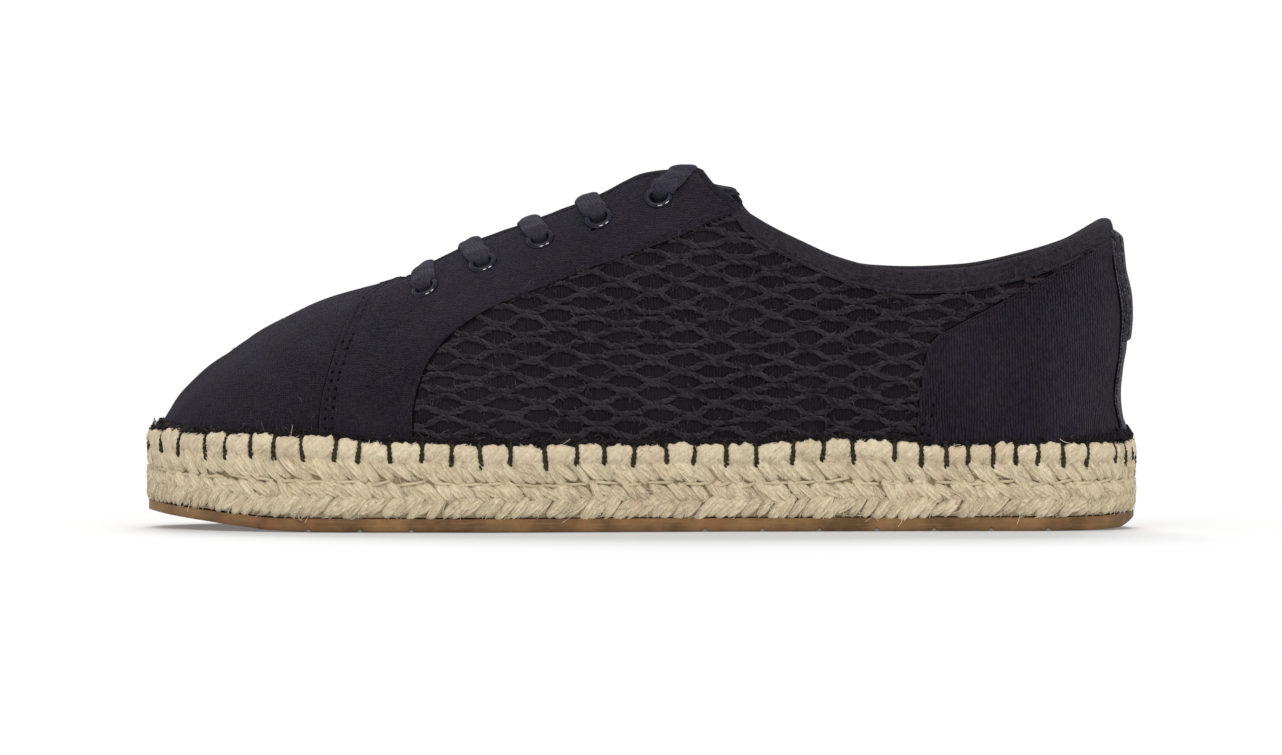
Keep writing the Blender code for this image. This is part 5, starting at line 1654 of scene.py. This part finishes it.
makeBinding()
makeTongue()
makeEyelets()
for number in range(len(eyelets)):
    makeLaceBar(number)
makeUnderRuns()
print("binding, tongue, eyelets and lace made")


# the net over the quarters
# first is the lowest row's height, and rear how far back the rows above the counter run
net = {"rows": 24, "first": 25.6, "row": 3.2, "rear": 133.0, "period": 17.7, "swing": 0.95, "yarn": 0.92,
       "lift": 0.64, "step": 0.62, "seed": 101, "hairs": 9500, "hair": 0.16}
netPaths = []


def makeNet(side):
    rng = np.random.default_rng(net["seed"] + side)
    rowsFine = np.linspace(0, 1, 200)
    _, rear = eyestayEdges(rowsFine)
    rearZ = readLast(side, wayTo(rear[0]), rear[1] * rimShare(side, wayTo(rear[0])))[:, 2]
    countX, countZ = seamPath(counterFront, rowsFine)
    paths = []
    for k in range(net["rows"]):
        base = net["first"] + net["row"] * k
        start = float(np.interp(base, rearZ, rear[0])) - 1.6
        stop = float(np.interp(base, countZ, countX)) + 1.8 if base < countZ[-1] else net["rear"]
        xs = np.arange(start, stop, net["step"])
        if len(xs) < 8:
            continue
        drift = 0.9 * softNoise(flatSpots(xs, base), 40, 7) + 0.06 * (base - 40)
        wave = np.sin(2 * math.pi * (xs + drift) / net["period"])
        flat = np.tanh(1.5 * wave) / math.tanh(1.5)
        signs = 1 if k % 2 else -1
        z = base + signs * net["swing"] * flat + 0.27 * softNoise(flatSpots(xs, base * 3), 8, 13)
        ways = wayTo(xs)
        rim = readLast(side, ways, rimShare(side, ways))[:, 2]
        inside = z < rim - binding["height"] + 1.5
        cross = 1 - np.abs(flat)
        spread = 0.37 + 0.30 * cross + 0.18 * softNoise(flatSpots(xs, z), 5, 15)
        for ply in range(3):
            turn = 2 * math.pi * (xs / 5.2 + ply / 3) + rng.uniform(0, 0.9) + k
            zz = z + spread * np.cos(turn)
            share = shareAtHeight(side, ways, zz)
            lift = net["lift"] + 0.28 * np.sin(turn)
            ends = smoothStep(xs, start + 0.5, start + 4.5)
            ends = np.minimum(ends, 1 - smoothStep(xs, stop - 4.0, stop - 0.5))
            lift = 0.15 + (lift - 0.15) * ends
            points = onLast(side, ways, share, lift)[0]
            for piece in np.split(np.arange(len(xs)), np.where(np.diff(inside.astype(int)) != 0)[0] + 1):
                if len(piece) > 5 and inside[piece[0]]:
                    path = points[piece]
                    tone = np.clip(0.5 + 0.5 * softNoise(path, 6, 17 + ply), 0, 1)
                    paths.append((path, tone, 0.92 + 0.22 * softNoise(path, 2.2, 19), False))
    netPaths.extend((side, path[0]) for path in paths)
    piece = growCords("net" + sideNames[side], paths, net["yarn"], finishes["net"], sides=5, waver=0.95,
                      waverSize=1000, seed=float(side))
    return finishPiece(piece, "canvas")


def makeNetHairs():
    # short fibres that stand off the net's yarns and blur them
    rng = np.random.default_rng(net["seed"] + 7)
    centres = np.concatenate([path for _, path in netPaths])
    sides = np.concatenate([np.full(len(path), side) for side, path in netPaths])
    paths = []
    for i in rng.integers(0, len(centres), net["hairs"]):
        out = np.array([0.0, sides[i] * 0.9, 0.25])
        start = centres[i] + rng.normal(0, 0.3, 3) * (1, 0.2, 1) + out * 0.45
        t = np.array([0, 0.55, 1])
        angle = rng.uniform(0, math.tau)
        reach = rng.uniform(0.5, 1.7)
        bend = rng.normal(0, 0.6) * t * t + 0.1 * np.sin(6 * t)
        first = np.array([math.cos(angle), 0, math.sin(angle)])
        second = np.array([-math.sin(angle), 0, math.cos(angle)])
        curl = start + reach * (t[:, None] * first + bend[:, None] * second)
        curl = curl + (rng.uniform(0.0, 0.35) * np.sin(math.pi * t * 0.8))[:, None] * out
        tone, width = rng.uniform(0, 1) ** 1.6, np.array([0.75, 1, 0.45]) * rng.uniform(0.6, 1.2)
        paths.append((curl, tone, width, False))
    return growCords("netHairs", paths, net["hair"], finishes["netHair"], sides=3, waver=0.3, waverSize=900)


for side in (outer, inner):
    makeNet(side)
finishPiece(makeNetHairs(), "canvas")
print("net made")


# seam stitches with the painted shade of their needle holes, painted shade lines along panel edges, and lint
seam = {"pitch": 2.9, "length": 2.1, "wide": 0.60, "high": 0.40, "hole": 0.90, "missing": 0.1, "seed": 61}


def capsuleStamp(name, rings=5, sides=6):
    points = []
    for i in range(rings):
        turn = math.pi * (i + 0.35) / (rings - 0.3)
        for j in range(sides):
            angle = math.tau * j / sides
            points.append((-0.5 * math.cos(turn), 0.5 * math.sin(turn) ** 0.6 * math.cos(angle),
                           0.5 * math.sin(turn) ** 0.6 * math.sin(angle)))
    return makePiece(name, np.array(points) / mm, tubeFaces(rings, sides), [], weld=0)


def makeSeams():
    rng = np.random.default_rng(seam["seed"])
    threads, holes = [], []
    for points, normals, holeShare in seamLines:
        gone = distanceAlong(points)
        count = int(gone[-1] // seam["pitch"])
        pitch = gone[-1] / count

        def at(distance, of=points):
            return np.array([np.interp(distance, gone, of[:, k]) for k in range(3)])

        for i in range(count):
            middle = (i + 0.5) * pitch + rng.normal(0, 0.08)
            along, out = at(middle + 0.7) - at(middle - 0.7), at(middle, normals)
            size = np.array([seam["length"], seam["wide"], seam["high"]]) * rng.normal(1, 0.06, 3)
            threads.append((at(middle) + out * 0.08, along, out, size, rng.uniform(0, 1)))
            # a near-black stamp beside the stitch: painted shade of the needle hole, set on the cloth
            if i and rng.uniform() > seam["missing"]:
                size = np.array([seam["hole"], seam["hole"] * 0.85, 0.5]) * holeShare * rng.uniform(0.5, 1.45)
                spot = at(i * pitch + rng.normal(0, 0.15)) + np.cross(along, out) * rng.normal(0, 0.1)
                # the upper stitches are pulled shut
                fade = np.interp(spot[0], (50, 60, 118, 124), (54, 38, 38, 200))
                size *= 1 - 0.75 * smoothStep(spot[2], fade, fade + 6)
                holes.append((spot, along, out, size, rng.uniform(0, 1)))
    # near-black cords of painted shade along the edge shade lines
    rows = [(line, rng.uniform(0, 1), width * (1 + 0.3 * softNoise(line, 5, 83)), False)
            for line, width in edgeShadeLines]
    piece = growCords("edgeShadows", rows, 0.5, finishes["needleHole"], sides=5, waver=0.4, waverSize=500)
    finishPiece(piece, "canvas")
    finishPiece(setStamps("seamStitches", capsuleStamp("threadStamp"), threads, finishes["thread"]), "canvas")
    finishPiece(setStamps("needleHoles", capsuleStamp("holeStamp"), holes, finishes["needleHole"]), "canvas")


lint = {"thick": 0.14, "onJoint": 1500, "onCloth": 90, "seed": 71, "fray": 2600, "frayThick": 0.30}


def curledHair(rng, start, reach, out, height):
    # a short curl that starts on the surface and stands off it a little
    first = unit(np.cross(out, rng.normal(size=3)))
    second = np.cross(out, first)
    t = np.linspace(0, 1, 5)
    side = rng.normal(0, 0.5) * t * t + 0.15 * np.sin(5 * t + rng.uniform(0, 6))
    stand = height * np.sin(math.pi * t * rng.uniform(0.5, 1))
    return start + reach * (t[:, None] * first + side[:, None] * second) + stand[:, None] * out


def makeLint():
    rng = np.random.default_rng(lint["seed"])
    paths = []

    def grow(start, out, reach, height, tone, thin=1.0):
        width = np.array([0.5, 1, 1, 0.8, 0.4]) * thin
        paths.append((curledHair(rng, start, reach, out, height), tone, width, False))

    for _ in range(lint["onJoint"]):
        gone = rng.uniform(0, ropeRound)
        point, _, away = ropePoint(gone, 1.04 + rng.normal(0, 0.035), -1.9)
        out = unit(np.append(away, 0.25))
        grow(point, out, rng.uniform(0.8, 2.8), rng.uniform(0.1, 0.7), rng.uniform(0, 1) ** 3)
    for side in (outer, inner):
        x = rng.uniform(-136, 140, lint["onCloth"])
        ways = wayTo(x)
        share = rng.uniform(0.02, 0.95, lint["onCloth"]) * rimShare(side, ways)
        point, out, _ = onLast(side, ways, share, np.where((x < -92) | (x > 84), 0.1, 1.45))
        for p, n in zip(point, out):
            grow(p, n, rng.uniform(0.7, 2.2), rng.uniform(0.1, 0.35), rng.uniform(0.1, 0.8) ** 2, 0.75)
    return growCords("lint", paths, lint["thick"], finishes["lint"], sides=3, waver=0.3, waverSize=700)


def makeFray():
    # frayed dark ends of the upper's edge, lying over the tops of the rope's tufts
    rng = np.random.default_rng(lint["seed"] + 1)
    paths = []
    for _ in range(lint["fray"]):
        gone = rng.uniform(0, ropeRound)
        height, inside = 1.035 + rng.normal(0, 0.022), 1.55 + rng.normal(0, 0.3)
        point, along, away = ropePoint(gone, height, -inside)
        t = np.linspace(0, 1, 4)
        atTip = float(np.clip((abs(point[0]) - 122) / 12, 0, 1))
        reach = rng.uniform(0.9, 2.8) * (1 - 0.45 * atTip)
        fall = rng.normal(-0.25, 0.45) - 0.5 * atTip
        run = np.append(along * rng.choice([-1, 1]), fall)
        bow = rng.uniform(0.1, 0.6) * np.sin(math.pi * t * rng.uniform(0.6, 1))
        curl = point + reach * t[:, None] * run + bow[:, None] * np.append(away, 0.3)
        tone, width = rng.uniform(0, 1) ** 2, np.array([0.5, 1, 0.9, 0.4]) * rng.uniform(0.5, 1.1)
        paths.append((curl, tone, width, False))
    return growCords("jointFray", paths, lint["frayThick"], finishes["edge"], sides=3, waver=0.5,
                     waverSize=700)


makeSeams()
finishPiece(makeLint(), "canvas")
finishPiece(makeFray(), "canvas")
print("seams and lint made")


# floor, light and camera
studio = {"floorTone": 0.580, "floorGlow": 0.16, "floorReach": 40, "world": 0.60, "distance": 8.0,
          "width": 0.3722, "elevation": 1.4, "aim": (0, -0.025, 0.0443)}
# suns: where the light comes from, how strong it is, how wide its source looks, and what it is for
suns = (
    ("keyLight", (-0.30, -0.6, 1.1), 0.60, 45, "all"),
    ("backLight", (0.0, 0.9, 0.62), 3.3, 32, "matte"),
    ("fillLight", (0.15, -1.0, 0.35), 1.40, 70, "matte"),
    ("glintLow", (-0.11, -0.98, 0.19), 4.2, 25, "eyelets"),
    ("glintRight", (0.47, -0.77, 0.45), 4.2, 25, "eyelets"),
)


def makeStudio():
    mesh = bpy.data.meshes.new("floor")
    reach = studio["floorReach"]
    corners = [(x * reach, y * reach, -0.0001) for x, y in ((-1, -1), (1, -1), (1, 1), (-1, 1))]
    mesh.from_pydata(corners, [], [(0, 1, 2, 3)])
    floor = bpy.data.objects.new("floor", mesh)
    bpy.context.scene.collection.objects.link(floor)
    made, tree, shader = startMaterial("paleFloor", 0.9, 0.1)
    tone = studio["floorTone"]
    dust = noiseOf(tree, placeOf(tree, "Object"), 30.0, 2.0)
    colour = mixColours(tree, dust, (tone,) * 3, (tone * 0.99,) * 3)
    tree.links.new(colour, shader.inputs["Base Color"])
    shader.inputs["Emission Color"].default_value = (1, 1, 1, 1)
    shader.inputs["Emission Strength"].default_value = studio["floorGlow"]
    mesh.materials.append(made)

    world = bpy.data.worlds.new("studio")
    world.use_nodes = True
    tree = world.node_tree
    sky = tree.nodes["Background"].inputs
    sky[0].default_value = (1, 1, 1, 1)
    seen = addNode(tree, "ShaderNodeLightPath").outputs["Is Camera Ray"]
    # plain white where it is seen, and weaker as a light
    tree.links.new(calc(tree, "MULTIPLY_ADD", seen, 1 - studio["world"], studio["world"]), sky[1])
    bpy.context.scene.world = world
    rings = bpy.data.collections.new("glintsOnRings")
    rings.objects.link(bpy.data.objects["eyeletRings"])
    for name, place, power, spread, purpose in suns:
        light = bpy.data.lights.new(name, "SUN")
        light.energy, light.angle = power, math.radians(spread)
        lamp = bpy.data.objects.new(name, light)
        lamp.visible_glossy = purpose != "matte"
        if purpose == "eyelets":
            lamp.visible_diffuse = False
            lamp.light_linking.receiver_collection = rings
        lamp.location = place
        lamp.rotation_euler = (-Vector(place)).to_track_quat("-Z", "Y").to_euler()
        bpy.context.scene.collection.objects.link(lamp)

    camera = bpy.data.cameras.new("camera")
    camera.sensor_width = 36.0
    camera.lens = 36.0 * studio["distance"] / studio["width"]
    camera.clip_end = 100.0
    aim = Vector(studio["aim"])
    tilt = math.radians(studio["elevation"])
    holder = bpy.data.objects.new("camera", camera)
    holder.location = aim + Vector((0, -math.cos(tilt), math.sin(tilt))) * studio["distance"]
    holder.rotation_euler = (aim - holder.location).to_track_quat("-Z", "Y").to_euler()
    bpy.context.scene.collection.objects.link(holder)
    bpy.context.scene.camera = holder
    bpy.context.scene.view_settings.view_transform = "Standard"


makeStudio()
print("studio made")
